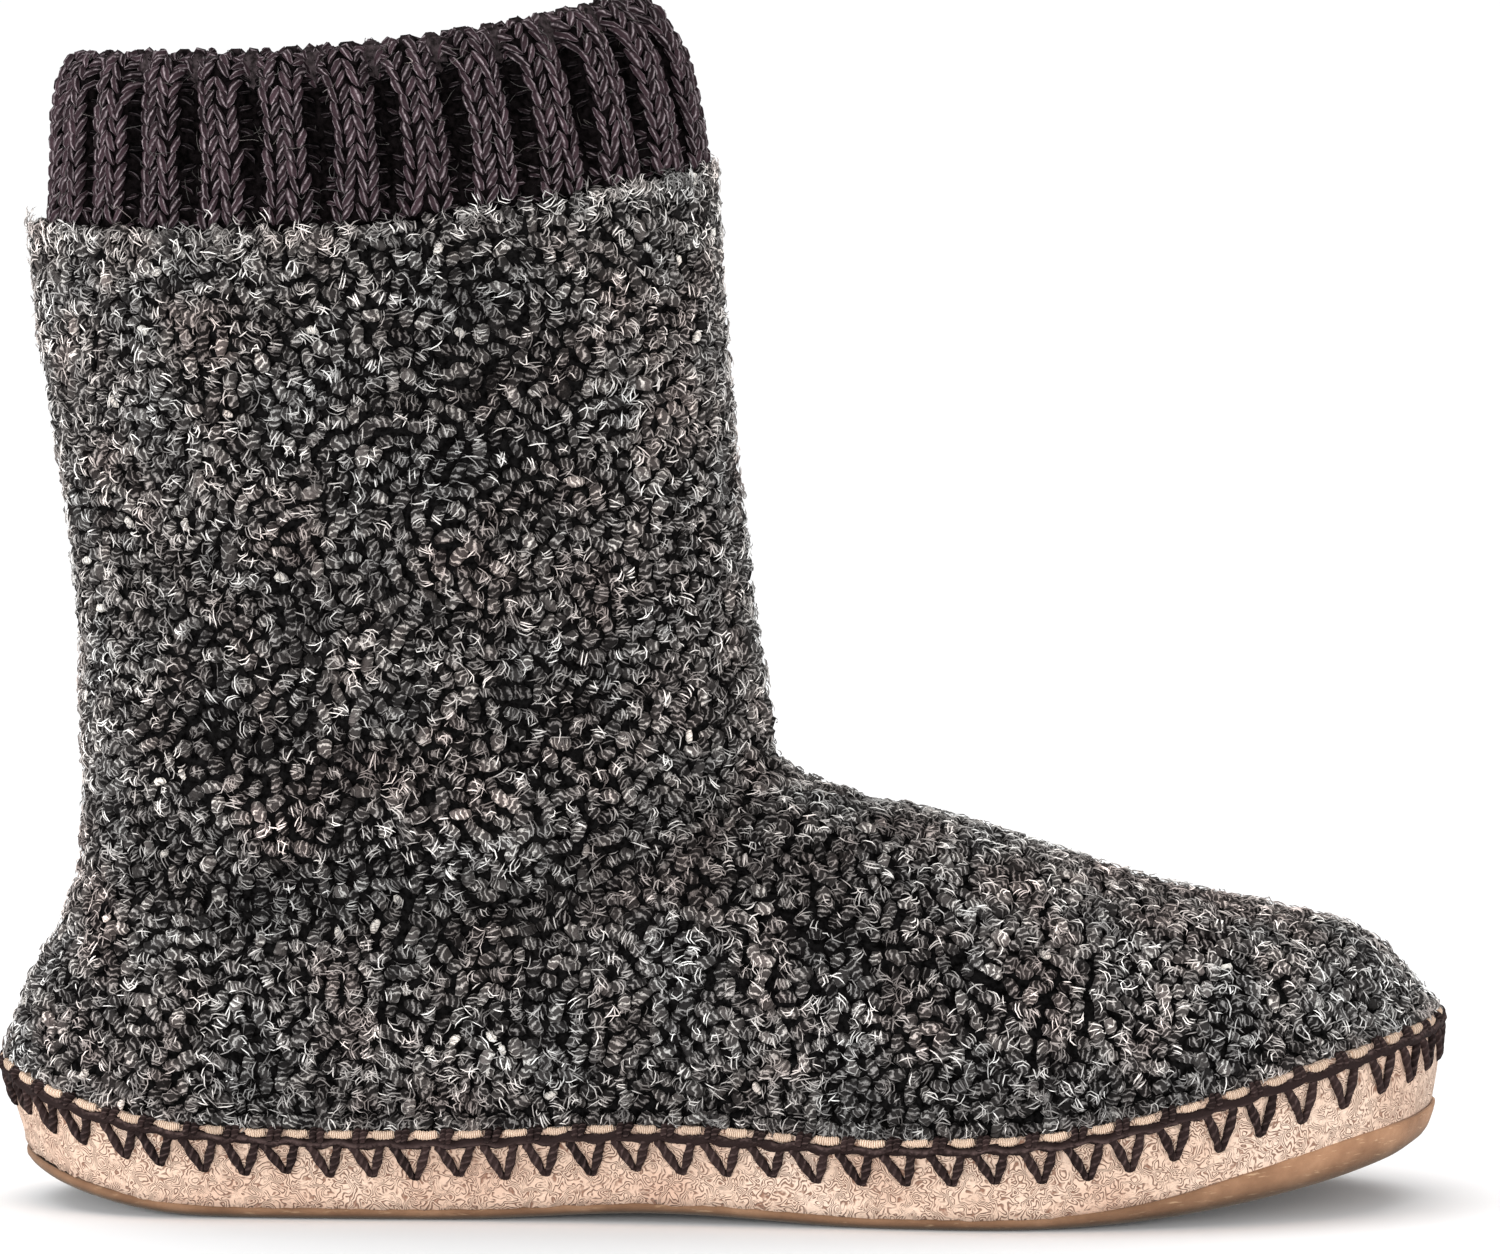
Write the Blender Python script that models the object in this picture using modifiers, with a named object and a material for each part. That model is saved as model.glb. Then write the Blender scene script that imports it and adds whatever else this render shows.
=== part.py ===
"""Knitted house slipper boot, right foot, in metres, +Z up and toe towards +X.

The sole's plan outline is one closed curve. Outsole, rand and insole are worked out from it,
and the knitted upper is a tube of level sections that starts inside the rand and ends under
the ribbed cuff. A station is the distance from the back of the heel as a share of the length.
"""

import math
from collections import namedtuple

import bmesh
import bpy
import numpy as np

MM = 0.001

# Plan of the sole at the top of the rand
SOLE_LENGTH = 270 * MM
BALL_WIDTH = 104 * MM

# Side line of the sole: flat heel and ball, with the rest raised
SOLE_THICKNESS = 2.6 * MM
SOLE_TOE_EXTRA = 1.8 * MM
SOLE_TOE_STATIONS = (0.68, 0.90)
HEEL_RISE = 7.6 * MM
HEEL_CURVE = 2.2
HEEL_FLAT = (0.15, 0.30)
ARCH_RISE = 1.7 * MM
BALL_FLAT = (0.61, 0.685)
TOE_SPRING = 11.5 * MM
TOE_CURVE = 2.2

# Dish of the underside: how far the sole's edge stands above its middle, and over which stations
TOE_DISH = 1.4 * MM
TOE_DISH_STATIONS = (0.66, 0.95)
HEEL_DISH = 1.0 * MM
HEEL_DISH_STATIONS = (0.02, 0.20)
DISH_CURVE = 4
END_CURVE = 6
SOLE_EDGE_EASE = 0.3

# Suede wall round the sole
RAND_HEIGHT = 14.4 * MM
RAND_TOE_EXTRA = 4.8 * MM
RAND_TOE_STATIONS = (0.60, 0.98)
RAND_HEEL_EXTRA = 1.2 * MM
RAND_HEEL_STATIONS = (0.03, 0.24)
RAND_WALL = 2.0 * MM

# How far the rand's foot is tucked in under its top: at the sides, the heel and the toe
SIDE_TUCK = 4.2 * MM
HEEL_TUCK = 2.8 * MM
HEEL_TUCK_STATIONS = (0.02, 0.16)
TOE_TUCK = 1.8 * MM
TOE_TUCK_STATIONS = (0.80, 0.97)
TUCK_CURVE = 1.7

# Footbed
INSOLE_THICKNESS = 7.0 * MM
INSOLE_SLACK = 0.5 * MM

# Knitted upper
UPPER_WALL = 4.0 * MM
INSTEP_HEIGHT = 80.7 * MM
SHAFT_RISE = 101.0 * MM
SHAFT_DEPTH = 127 * MM
SHAFT_WIDTH = 92 * MM
SEAM_SLANT = 10.8 * MM
SLANT_START = 0.25
SLANT_CURVE = 1.7

# Ribbed cuff, a doubled knit turned over at the top
CUFF_HEIGHT = 32.4 * MM
CUFF_THICKNESS = 7.4 * MM
CUFF_SET_BACK = 2.0 * MM
CUFF_FORWARD = 1.2 * MM
CUFF_TAIL = 8.0 * MM
RIB_COUNT = 26
FIRST_RIB = -0.17
RIB_DEPTH = 2.6 * MM
RIB_LEAN = 7.4 * MM
GROOVE_DROP = 0.25
FOLD_START = 0.9

CLEARANCE = 0.35 * MM
SEAM_CLEARANCE = 0.6 * MM
WELD = 0.01 * MM
SHARP_ANGLE = math.radians(50)

# Mesh fineness
POINTS_AROUND = 56
FINE_POINTS = 240
CURVE_SAMPLES = 24
SLAB_COLUMNS = 8
UPPER_ROWS = 16
ROW_CROWDING = 1.12

# Closed plan outline, heel back first, then the outer side to the toe and the inner side back.
# along is a share of SOLE_LENGTH, across a share of BALL_WIDTH, and the outer side is negative.
OutlinePoint = namedtuple("OutlinePoint", "along across")
SOLE_OUTLINE = (
    OutlinePoint(0.000, 0.000),
    OutlinePoint(0.030, -0.195),
    OutlinePoint(0.100, -0.315),
    OutlinePoint(0.210, -0.350),
    OutlinePoint(0.400, -0.385),
    OutlinePoint(0.560, -0.455),
    OutlinePoint(0.680, -0.500),
    OutlinePoint(0.800, -0.468),
    OutlinePoint(0.900, -0.355),
    OutlinePoint(0.970, -0.195),
    OutlinePoint(1.000, 0.020),
    OutlinePoint(0.982, 0.200),
    OutlinePoint(0.920, 0.345),
    OutlinePoint(0.830, 0.450),
    OutlinePoint(0.720, 0.500),
    OutlinePoint(0.590, 0.450),
    OutlinePoint(0.430, 0.350),
    OutlinePoint(0.250, 0.335),
    OutlinePoint(0.110, 0.300),
    OutlinePoint(0.030, 0.190),
)

# Rows of the rand from its foot up the outside, over the bead and down the inside.
# share is of the rand's height, depth is a share of RAND_WALL behind its outer face.
RandRow = namedtuple("RandRow", "share depth")
RAND_ROWS = (
    RandRow(0.00, 0.00),
    RandRow(0.20, 0.00),
    RandRow(0.45, 0.00),
    RandRow(0.70, 0.00),
    RandRow(0.86, 0.00),
    RandRow(0.90, -0.25),
    RandRow(0.97, -0.25),
    RandRow(1.00, 0.50),
    RandRow(0.97, 1.00),
    RandRow(0.70, 1.00),
    RandRow(0.35, 1.00),
    RandRow(0.00, 1.00),
)

# Shares of the rand's height at which the upper's lower edge follows its inside
TUCKED_ROWS = (0.03, 0.30, 0.65, 1.00)

# Level sections of the foot. height is a share of the rise from the rand's top edge to
# INSTEP_HEIGHT, back and front are shares of SOLE_LENGTH, width is a share of BALL_WIDTH, last is
# how much the section follows the sole's outline, and egg how much fuller its back is.
FootSection = namedtuple("FootSection", "height back front width last egg")
FOOT_SECTIONS = (
    FootSection(0.022, 0.003, 0.991, 0.985, 1.00, 0.00),
    FootSection(0.090, 0.004, 0.982, 0.995, 1.00, 0.00),
    FootSection(0.189, 0.008, 0.970, 0.998, 0.95, 0.04),
    FootSection(0.287, 0.016, 0.957, 0.985, 0.88, 0.09),
    FootSection(0.381, 0.026, 0.934, 0.962, 0.78, 0.14),
    FootSection(0.454, 0.035, 0.897, 0.938, 0.68, 0.18),
    FootSection(0.530, 0.042, 0.860, 0.910, 0.57, 0.22),
    FootSection(0.605, 0.048, 0.814, 0.882, 0.46, 0.26),
    FootSection(0.673, 0.052, 0.775, 0.858, 0.37, 0.29),
    FootSection(0.762, 0.054, 0.720, 0.832, 0.26, 0.29),
    FootSection(0.843, 0.055, 0.666, 0.812, 0.17, 0.27),
    FootSection(0.924, 0.057, 0.596, 0.796, 0.08, 0.23),
    FootSection(1.000, 0.057, 0.548, 0.786, 0.00, 0.17),
)

# Level sections of the shaft. height is a share of SHAFT_RISE, back is a share of SOLE_LENGTH,
# depth a share of SHAFT_DEPTH, width a share of SHAFT_WIDTH.
ShaftSection = namedtuple("ShaftSection", "height back depth width egg")
SHAFT_SECTIONS = (
    ShaftSection(0.09, 0.057, 1.002, 0.890, 0.13),
    ShaftSection(0.20, 0.055, 0.991, 0.905, 0.09),
    ShaftSection(0.36, 0.050, 0.987, 0.935, 0.05),
    ShaftSection(0.55, 0.040, 0.989, 0.970, 0.02),
    ShaftSection(0.76, 0.030, 0.994, 1.000, 0.00),
    ShaftSection(1.00, 0.020, 1.002, 0.985, 0.00),
)

# Line of the cuff up its outside and down its inside. rise is a share of CUFF_HEIGHT, inset a
# share of CUFF_THICKNESS measured from the cuff's foot, ribs how far the ribs stand out there.
CuffSection = namedtuple("CuffSection", "rise inset ribs")
CUFF_SECTIONS = (
    CuffSection(0.00, 0.00, 0.45),
    CuffSection(0.12, 0.00, 0.85),
    CuffSection(0.40, 0.06, 1.00),
    CuffSection(0.66, 0.10, 1.00),
    CuffSection(0.84, 0.24, 1.00),
    CuffSection(0.95, 0.46, 0.80),
    CuffSection(1.00, 0.78, 0.30),
    CuffSection(0.93, 1.00, 0.00),
    CuffSection(0.40, 1.00, 0.00),
)

# One rib as shares of its pitch and of its height: groove, flank, crown, flank
RibPoint = namedtuple("RibPoint", "phase height")
RIB_PROFILE = (
    RibPoint(0.00, 0.00),
    RibPoint(0.20, 0.12),
    RibPoint(0.31, 0.86),
    RibPoint(0.50, 1.00),
    RibPoint(0.69, 0.86),
    RibPoint(0.80, 0.12),
)

# Name, colour and roughness of each piece's material
Finish = namedtuple("Finish", "name red green blue roughness")
OUTSOLE_FINISH = Finish("outsole suede", 0.36, 0.24, 0.13, 0.85)
RAND_FINISH = Finish("rand suede", 0.62, 0.45, 0.33, 0.90)
INSOLE_FINISH = Finish("footbed fleece", 0.09, 0.085, 0.085, 0.95)
UPPER_FINISH = Finish("boucle knit", 0.05, 0.05, 0.052, 0.95)
CUFF_FINISH = Finish("rib knit", 0.055, 0.043, 0.045, 0.95)


def hermite(at, knots, values):
    """Smooth curve through a table: cubic between rows, each row's slope from its neighbours."""
    knots = np.asarray(knots, float)
    values = np.asarray(values, float)
    slopes = np.gradient(values, knots)
    at = np.clip(at, knots[0], knots[-1])
    row = np.clip(np.searchsorted(knots, at, side="right") - 1, 0, len(knots) - 2)
    step = knots[row + 1] - knots[row]
    t = (at - knots[row]) / step
    start = (1 + 2 * t) * (1 - t) ** 2 * values[row] + t * (1 - t) ** 2 * step * slopes[row]
    end = t * t * (3 - 2 * t) * values[row + 1] + t * t * (t - 1) * step * slopes[row + 1]
    return start + end


def ramp(at, limits):
    """0 below the first limit, 1 above the second, and an S-curve between."""
    low, high = limits
    t = np.clip((np.asarray(at, float) - low) / (high - low), 0, 1)
    return t * t * (3 - 2 * t)


def closed_curve(points):
    """Catmull-Rom curve through a closed list of points."""
    points = np.asarray(points, float)
    before, after, next_after = (np.roll(points, -k, axis=0) for k in (-1, 1, 2))
    t = (np.arange(CURVE_SAMPLES) / CURVE_SAMPLES)[None, :, None]
    a, b, c, d = (p[:, None, :] for p in (before, points, after, next_after))
    curve = b + 0.5 * t * (c - a + t * (2 * a - 5 * b + 4 * c - d + t * (3 * (b - c) + d - a)))
    return curve.reshape(-1, 2)


def spread(curve, count):
    """count points at even steps along a closed curve's two sides: to the toe and back."""
    toe = int(np.argmax(curve[:, 0]))
    sides = (curve[: toe + 1], np.vstack([curve[toe:], curve[:1]]))
    found = []
    for side in sides:
        steps = np.linalg.norm(np.diff(side, axis=0), axis=1)
        run = np.concatenate([[0], np.cumsum(steps)])
        at = np.linspace(0, run[-1], count // 2, endpoint=False)
        found.append(np.stack([np.interp(at, run, side[:, k]) for k in (0, 1)], axis=1))
    return np.vstack(found)


def outline_shares(count):
    """The sole's outline as shares of its length and of its width, centred across."""
    curve = closed_curve(SOLE_OUTLINE)
    back, toe = curve[:, 0].min(), curve[:, 0].max()
    outer, inner = curve[:, 1].min(), curve[:, 1].max()
    curve[:, 0] = (curve[:, 0] - back) / (toe - back)
    curve[:, 1] = (curve[:, 1] - (outer + inner) / 2) / (inner - outer)
    return spread(curve, count)


def inset(loop, distance):
    """A closed plan loop moved inwards along its own normals, by one distance or one a point."""
    along = np.roll(loop[:, :2], -1, axis=0) - np.roll(loop[:, :2], 1, axis=0)
    inward = np.stack([-along[:, 1], along[:, 0]], axis=1)
    inward /= np.linalg.norm(inward, axis=1)[:, None]
    moved = loop.copy()
    moved[:, :2] += inward * np.broadcast_to(distance, (len(loop),))[:, None]
    return moved


def plan_loop(count):
    """The sole's outline in metres, at height 0."""
    shares = outline_shares(count)
    x = (shares[:, 0] - 0.5) * SOLE_LENGTH
    y = shares[:, 1] * BALL_WIDTH
    return np.stack([x, y, np.zeros(count)], axis=1)


def station(x):
    return np.asarray(x, float) / SOLE_LENGTH + 0.5


def side_line(x):
    """Height of the sole's underside at its middle: flat heel and ball, raised arch and ends."""
    s = station(x)
    heel = HEEL_RISE * np.clip(1 - s / HEEL_FLAT[0], 0, None) ** HEEL_CURVE
    toe_share = np.clip((s - BALL_FLAT[1]) / (1 - BALL_FLAT[1]), 0, None)
    across_arch = np.clip((s - HEEL_FLAT[1]) / (BALL_FLAT[0] - HEEL_FLAT[1]), 0, 1)
    arch = ARCH_RISE * np.sin(math.pi * across_arch) ** 2
    return heel + TOE_SPRING * toe_share ** TOE_CURVE + arch


def edge_lift(x):
    """How far the sole's edge stands above its middle, like a dish, at the toe and the heel."""
    s = station(x)
    toe = TOE_DISH * ramp(s, TOE_DISH_STATIONS)
    heel = HEEL_DISH * (1 - ramp(s, HEEL_DISH_STATIONS))
    return toe + heel


def underside(x, to_edge):
    """Height of the outsole's underside, to_edge running from 0 in the middle to 1 at the edge."""
    return side_line(x) + edge_lift(x) * to_edge ** DISH_CURVE


def outsole_roof(x, to_edge):
    """Height of the outsole's top. The sole is thicker under the toes."""
    extra = SOLE_TOE_EXTRA * ramp(station(x), SOLE_TOE_STATIONS)
    return underside(x, to_edge) + SOLE_THICKNESS + extra


def insole_floor(x, to_edge):
    """Height of the insole's underside, just clear of the outsole."""
    return outsole_roof(x, to_edge) + CLEARANCE


def insole_roof(x, to_edge):
    return insole_floor(x, to_edge) + INSOLE_THICKNESS


def rand_foot(x):
    """Height of the rand's lower edge, just clear of the outsole."""
    return insole_floor(x, 1)


def rand_height(x):
    s = station(x)
    toe = RAND_TOE_EXTRA * ramp(s, RAND_TOE_STATIONS)
    heel = RAND_HEEL_EXTRA * (1 - ramp(s, RAND_HEEL_STATIONS))
    return RAND_HEIGHT + toe + heel


def rand_top_level():
    """Height of the rand's top edge along the flat of the sole."""
    return SOLE_THICKNESS + CLEARANCE + RAND_HEIGHT


def rand_tuck(x):
    """How far the rand's foot lies inside its top edge."""
    s = station(x)
    heel = (HEEL_TUCK - SIDE_TUCK) * (1 - ramp(s, HEEL_TUCK_STATIONS))
    toe = (TOE_TUCK - SIDE_TUCK) * ramp(s, TOE_TUCK_STATIONS)
    return SIDE_TUCK + heel + toe


def rand_loop(count, share, depth):
    """A loop in the rand at a share of its height, depth behind its outer face."""
    plan = plan_loop(count)
    loop = inset(plan, rand_tuck(plan[:, 0]) * (1 - share) ** TUCK_CURVE + depth)
    loop[:, 2] = rand_foot(plan[:, 0]) + share * rand_height(plan[:, 0])
    return loop


def shaft_top():
    """Height of the shaft's top edge at its back."""
    return INSTEP_HEIGHT + SHAFT_RISE


def foot_level(section):
    return rand_top_level() + section.height * (INSTEP_HEIGHT - rand_top_level())


def section_table():
    """Both tables of the upper in metres: height, back, front, width, and two shape shares."""
    rows = []
    for foot in FOOT_SECTIONS:
        back = foot.back * SOLE_LENGTH
        front = foot.front * SOLE_LENGTH
        width = foot.width * BALL_WIDTH
        rows.append((foot_level(foot), back, front, width, foot.last, foot.egg))
    for shaft in SHAFT_SECTIONS:
        height = INSTEP_HEIGHT + shaft.height * SHAFT_RISE
        back = shaft.back * SOLE_LENGTH
        front = back + shaft.depth * SHAFT_DEPTH
        rows.append((height, back, front, shaft.width * SHAFT_WIDTH, 0.0, shaft.egg))
    return np.array(rows)


def seam_rise(x):
    """The seam under the cuff climbs towards the front of the shaft."""
    back = (SHAFT_SECTIONS[-1].back - 0.5) * SOLE_LENGTH
    to_front = (x - back) / SHAFT_DEPTH
    climb = np.clip((to_front - SLANT_START) / (1 - SLANT_START), 0, 1)
    return SEAM_SLANT * climb ** SLANT_CURVE


def upper_loop(count, height):
    """The upper's outer face at one level: a mix of the sole's outline and an egg."""
    table = section_table()
    back, front, width, last, egg = (hermite(height, table[:, 0], table[:, k]) for k in range(1, 6))
    sole = outline_shares(count)
    turn = np.arange(count) / count * 2 * math.pi
    oval_along = (1 - np.cos(turn)) / 2
    oval_across = -0.5 * np.sin(turn) * (1 + egg * np.cos(turn))
    along = last * sole[:, 0] + (1 - last) * oval_along
    across = last * sole[:, 1] + (1 - last) * oval_across
    x = back + (front - back) * along - SOLE_LENGTH / 2
    # The lowest levels follow the rand's top edge, and the highest follow the slanted seam
    low_share = np.clip((INSTEP_HEIGHT - height) / (INSTEP_HEIGHT - rand_top_level()), 0, 1)
    high_share = ramp(height, (INSTEP_HEIGHT, shaft_top()))
    rand_climb = rand_foot(x) + rand_height(x) - rand_top_level()
    z = height + rand_climb * low_share + seam_rise(x) * high_share
    return np.stack([x, across * width, z], axis=1)


def loft(loops, closed_across):
    """A mesh through closed loops of equal length. closed_across joins the last to the first."""
    mesh = bmesh.new()
    rings = [[mesh.verts.new(p) for p in loop] for loop in loops]
    following = rings[1:] + rings[:1] if closed_across else rings[1:]
    for lower, upper in zip(rings, following):
        for i in range(len(lower)):
            j = (i + 1) % len(lower)
            mesh.faces.new((lower[i], lower[j], upper[j], upper[i]))
    return mesh


def slab(edge, floor_at, roof_at):
    """A slab inside a closed edge loop, in strips across from its outer to its inner side.

    Floor and roof take a point's x and how near it is to the edge: 1 at the sides and both ends.
    """
    half = len(edge) // 2
    shares = (1 - np.cos(np.linspace(0, math.pi, SLAB_COLUMNS + 1))) / 2
    mesh = bmesh.new()
    floors = []
    roofs = []
    for i in range(half + 1):
        outer = edge[i]
        inner = edge[(len(edge) - i) % len(edge)]
        points = [outer + (inner - outer) * share for share in shares]
        off_end = 1 - abs(2 * i / half - 1) ** END_CURVE
        to_edge = [1 - (1 - abs(2 * share - 1)) * off_end for share in shares]
        for strips, height_at in ((floors, floor_at), (roofs, roof_at)):
            heights = [float(height_at(p[0], t)) for p, t in zip(points, to_edge)]
            strips.append([mesh.verts.new((p[0], p[1], z)) for p, z in zip(points, heights)])
    for strips in (floors, roofs):
        for near, far in zip(strips, strips[1:]):
            for k in range(SLAB_COLUMNS):
                mesh.faces.new((near[k], far[k], far[k + 1], near[k + 1]))
    for k in (0, SLAB_COLUMNS):
        for i in range(half):
            mesh.faces.new((floors[i][k], floors[i + 1][k], roofs[i + 1][k], roofs[i][k]))
    bmesh.ops.remove_doubles(mesh, verts=mesh.verts, dist=WELD)
    return mesh


def material(finish):
    made = bpy.data.materials.new(finish.name)
    made.use_nodes = True
    shader = made.node_tree.nodes["Principled BSDF"]
    shader.inputs["Base Color"].default_value = (finish.red, finish.green, finish.blue, 1)
    shader.inputs["Roughness"].default_value = finish.roughness
    shader.inputs["Metallic"].default_value = 0
    return made


def piece(name, mesh, collection, finish):
    """A named object from a bmesh, faces outwards, shaded smooth with its real edges kept."""
    bmesh.ops.recalc_face_normals(mesh, faces=mesh.faces)
    data = bpy.data.meshes.new(name)
    mesh.to_mesh(data)
    mesh.free()
    data.shade_smooth()
    data.set_sharp_from_angle(angle=SHARP_ANGLE)
    data.materials.append(material(finish))
    made = bpy.data.objects.new(name, data)
    collection.objects.link(made)
    return made


def face_out(data):
    """Turns an open tube's faces so that they look away from its middle line."""
    if sum(face.normal.y * face.center.y * face.area for face in data.polygons) < 0:
        data.flip_normals()


def build_outsole(collection):
    """Thin sole with toe spring, its underside dished up to the edge and its corners eased."""
    plan = plan_loop(POINTS_AROUND)
    edge = inset(plan, rand_tuck(plan[:, 0]))
    made = piece("outsole", slab(edge, underside, outsole_roof), collection, OUTSOLE_FINISH)
    rounding = made.modifiers.new("eased edge", "BEVEL")
    rounding.width = SOLE_THICKNESS * SOLE_EDGE_EASE
    rounding.segments = 1
    rounding.limit_method = "ANGLE"
    rounding.angle_limit = SHARP_ANGLE


def build_insole(collection):
    """Footbed that lies on the outsole inside the upper's lower edge."""
    plan = plan_loop(POINTS_AROUND)
    behind = RAND_WALL + UPPER_WALL + 2 * CLEARANCE + INSOLE_SLACK
    edge = inset(plan, rand_tuck(plan[:, 0]) + behind)
    piece("insole", slab(edge, insole_floor, insole_roof), collection, INSOLE_FINISH)


def build_rand(collection):
    """Suede wall: tucked in at its foot, with a low bead along its top edge."""
    loops = [rand_loop(POINTS_AROUND, row.share, row.depth * RAND_WALL) for row in RAND_ROWS]
    piece("rand", loft(loops, closed_across=True), collection, RAND_FINISH)


def build_upper(collection):
    """Knitted tube, open underneath and at the collar: rows inside the rand, then sections."""
    behind = RAND_WALL + CLEARANCE
    loops = [rand_loop(POINTS_AROUND, share, behind) for share in TUCKED_ROWS]
    first = foot_level(FOOT_SECTIONS[0])
    steps = np.linspace(0, 1, UPPER_ROWS) ** ROW_CROWDING
    for level in first + (shaft_top() - first) * steps:
        loops.append(upper_loop(POINTS_AROUND, level))
    made = piece("upper", loft(loops, closed_across=False), collection, UPPER_FINISH)
    face_out(made.data)
    wall = made.modifiers.new("wall", "SOLIDIFY")
    wall.thickness = UPPER_WALL
    wall.offset = -1
    wall.use_even_offset = True
    wall.use_rim = True


def rib_phases():
    """Where the cuff's points lie round it, and how high the rib stands at each.

    The first rib starts FIRST_RIB of a rib's pitch from the middle of the heel.
    """
    points = [(rib, point) for rib in range(RIB_COUNT) for point in RIB_PROFILE]
    phases = [(rib + FIRST_RIB + point.phase) / RIB_COUNT for rib, point in points]
    heights = [point.height for _, point in points]
    return np.array(phases), np.array(heights)


def loop_at(level, phases):
    """The upper's loop at a level, read at the cuff's own phases round it."""
    fine = upper_loop(FINE_POINTS, level)
    run = np.linalg.norm(np.roll(fine, -1, axis=0) - fine, axis=1)
    share = np.concatenate([[0], np.cumsum(run)]) / run.sum()
    closed = np.vstack([fine, fine[:1]])
    return np.stack([np.interp(phases % 1, share, closed[:, k]) for k in range(3)], axis=1)


def cuff_loop(row, phases, ribs):
    """One loop of the cuff: the upper's top loop, raised, set in, ribbed and leaning back."""
    base = loop_at(shaft_top(), phases)
    groove = RIB_DEPTH * row.ribs * (1 - ribs)
    loop = inset(base, CUFF_SET_BACK + row.inset * CUFF_THICKNESS + groove)
    back = (SHAFT_SECTIONS[-1].back - 0.5) * SOLE_LENGTH
    to_front = np.clip((base[:, 0] - back) / SHAFT_DEPTH, 0, 1)
    loop[:, 0] += CUFF_FORWARD - RIB_LEAN * to_front * row.rise ** 2
    loop[:, 2] += SEAM_CLEARANCE + row.rise * CUFF_HEIGHT
    if row.rise > FOLD_START:
        loop[:, 2] -= GROOVE_DROP * groove
    return loop


def build_cuff(collection):
    """Doubled rib knit: its tail lies inside the upper, its ribs run up and over the fold."""
    phases, ribs = rib_phases()
    shoulder = inset(loop_at(shaft_top(), phases), UPPER_WALL + SEAM_CLEARANCE)
    shoulder[:, 2] += SEAM_CLEARANCE
    sides = [cuff_loop(row, phases, ribs) for row in CUFF_SECTIONS]
    tail = loop_at(shaft_top() - CUFF_TAIL, phases)
    tail_inner = inset(tail, CUFF_SET_BACK + CUFF_THICKNESS)
    tail_outer = inset(tail, UPPER_WALL + SEAM_CLEARANCE)
    mesh = loft([shoulder] + sides + [tail_inner, tail_outer], closed_across=True)
    piece("cuff", mesh, collection, CUFF_FINISH)


def clear_scene():
    for old in list(bpy.data.objects):
        bpy.data.objects.remove(old)


def main():
    clear_scene()
    parts = bpy.data.collections.new("house slipper boot")
    bpy.context.scene.collection.children.link(parts)
    build_outsole(parts)
    build_rand(parts)
    build_insole(parts)
    build_upper(parts)
    build_cuff(parts)


main()
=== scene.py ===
import math

import bmesh
import bpy
import numpy as np
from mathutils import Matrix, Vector


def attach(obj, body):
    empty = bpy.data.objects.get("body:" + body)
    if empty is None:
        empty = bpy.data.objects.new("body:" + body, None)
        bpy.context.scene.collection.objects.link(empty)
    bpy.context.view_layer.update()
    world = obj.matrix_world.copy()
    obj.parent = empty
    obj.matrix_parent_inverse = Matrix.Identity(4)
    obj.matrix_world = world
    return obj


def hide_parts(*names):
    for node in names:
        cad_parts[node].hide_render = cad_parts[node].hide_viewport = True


# Knitted house slipper boot, right foot: nubby upper, ribbed cuff, suede rand with a whipstitch.
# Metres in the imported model's frame: +X to the toe, +Y to the inner side of the foot, +Z up.

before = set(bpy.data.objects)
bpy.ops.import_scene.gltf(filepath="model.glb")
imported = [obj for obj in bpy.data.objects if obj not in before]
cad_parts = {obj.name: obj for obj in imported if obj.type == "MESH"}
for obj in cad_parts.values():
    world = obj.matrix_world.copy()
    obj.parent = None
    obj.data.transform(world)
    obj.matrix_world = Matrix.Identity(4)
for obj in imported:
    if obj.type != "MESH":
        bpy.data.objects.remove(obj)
bpy.context.view_layer.update()
mm = 0.001
root = "root"

# the shoe's own sizes: the CAD source's, but with the rand's foot tucked in 0.8 mm more at the heel and 0.4 mm more
# at the toe, and with rounder and wider ribs

sole = {
    "length": 270 * mm, "ballWidth": 104 * mm, "thickness": 2.6 * mm,
    "toeExtra": 1.8 * mm, "toeExtraAt": (0.68, 0.90),
    "heelRise": 7.6 * mm, "heelCurve": 2.2, "heelFlat": (0.15, 0.30),
    "archRise": 1.7 * mm, "ballFlat": (0.61, 0.685), "toeSpring": 11.5 * mm, "toeCurve": 2.2,
    "toeDish": 1.4 * mm, "toeDishAt": (0.66, 0.95), "heelDish": 1.0 * mm, "heelDishAt": (0.02, 0.20),
    "dishCurve": 4, "endCurve": 6, "clearance": 0.35 * mm,
    "outline": (
        (0.000, 0.000), (0.030, -0.195), (0.100, -0.315), (0.210, -0.350), (0.400, -0.385),
        (0.560, -0.455), (0.680, -0.500), (0.800, -0.468), (0.900, -0.355), (0.970, -0.195),
        (1.000, 0.020), (0.982, 0.200), (0.920, 0.345), (0.830, 0.450), (0.720, 0.500),
        (0.590, 0.450), (0.430, 0.350), (0.250, 0.335), (0.110, 0.300), (0.030, 0.190),
    ),
}

rand = {
    "height": 14.4 * mm, "toeExtra": 4.8 * mm, "toeExtraAt": (0.60, 0.98),
    "heelExtra": 1.2 * mm, "heelExtraAt": (0.03, 0.24), "wall": 2.0 * mm,
    "sideTuck": 4.2 * mm, "heelTuck": 3.6 * mm, "heelTuckAt": (0.02, 0.16),
    "toeTuck": 2.2 * mm, "toeTuckAt": (0.80, 0.97), "tuckCurve": 1.7,
    "toeRoll": 1.7 * mm, "toeRollAt": (0.92, 1.0), "toeDip": 1.7 * mm, "toeDipAt": (0.95, 1.0),
    "plainAt": (0.70, 0.78), "fray": 0.45 * mm, "flare": (0.22 * mm, 0.12 * mm), "columns": 720,
    "slot": "rand", "seed": 11,
}

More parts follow.
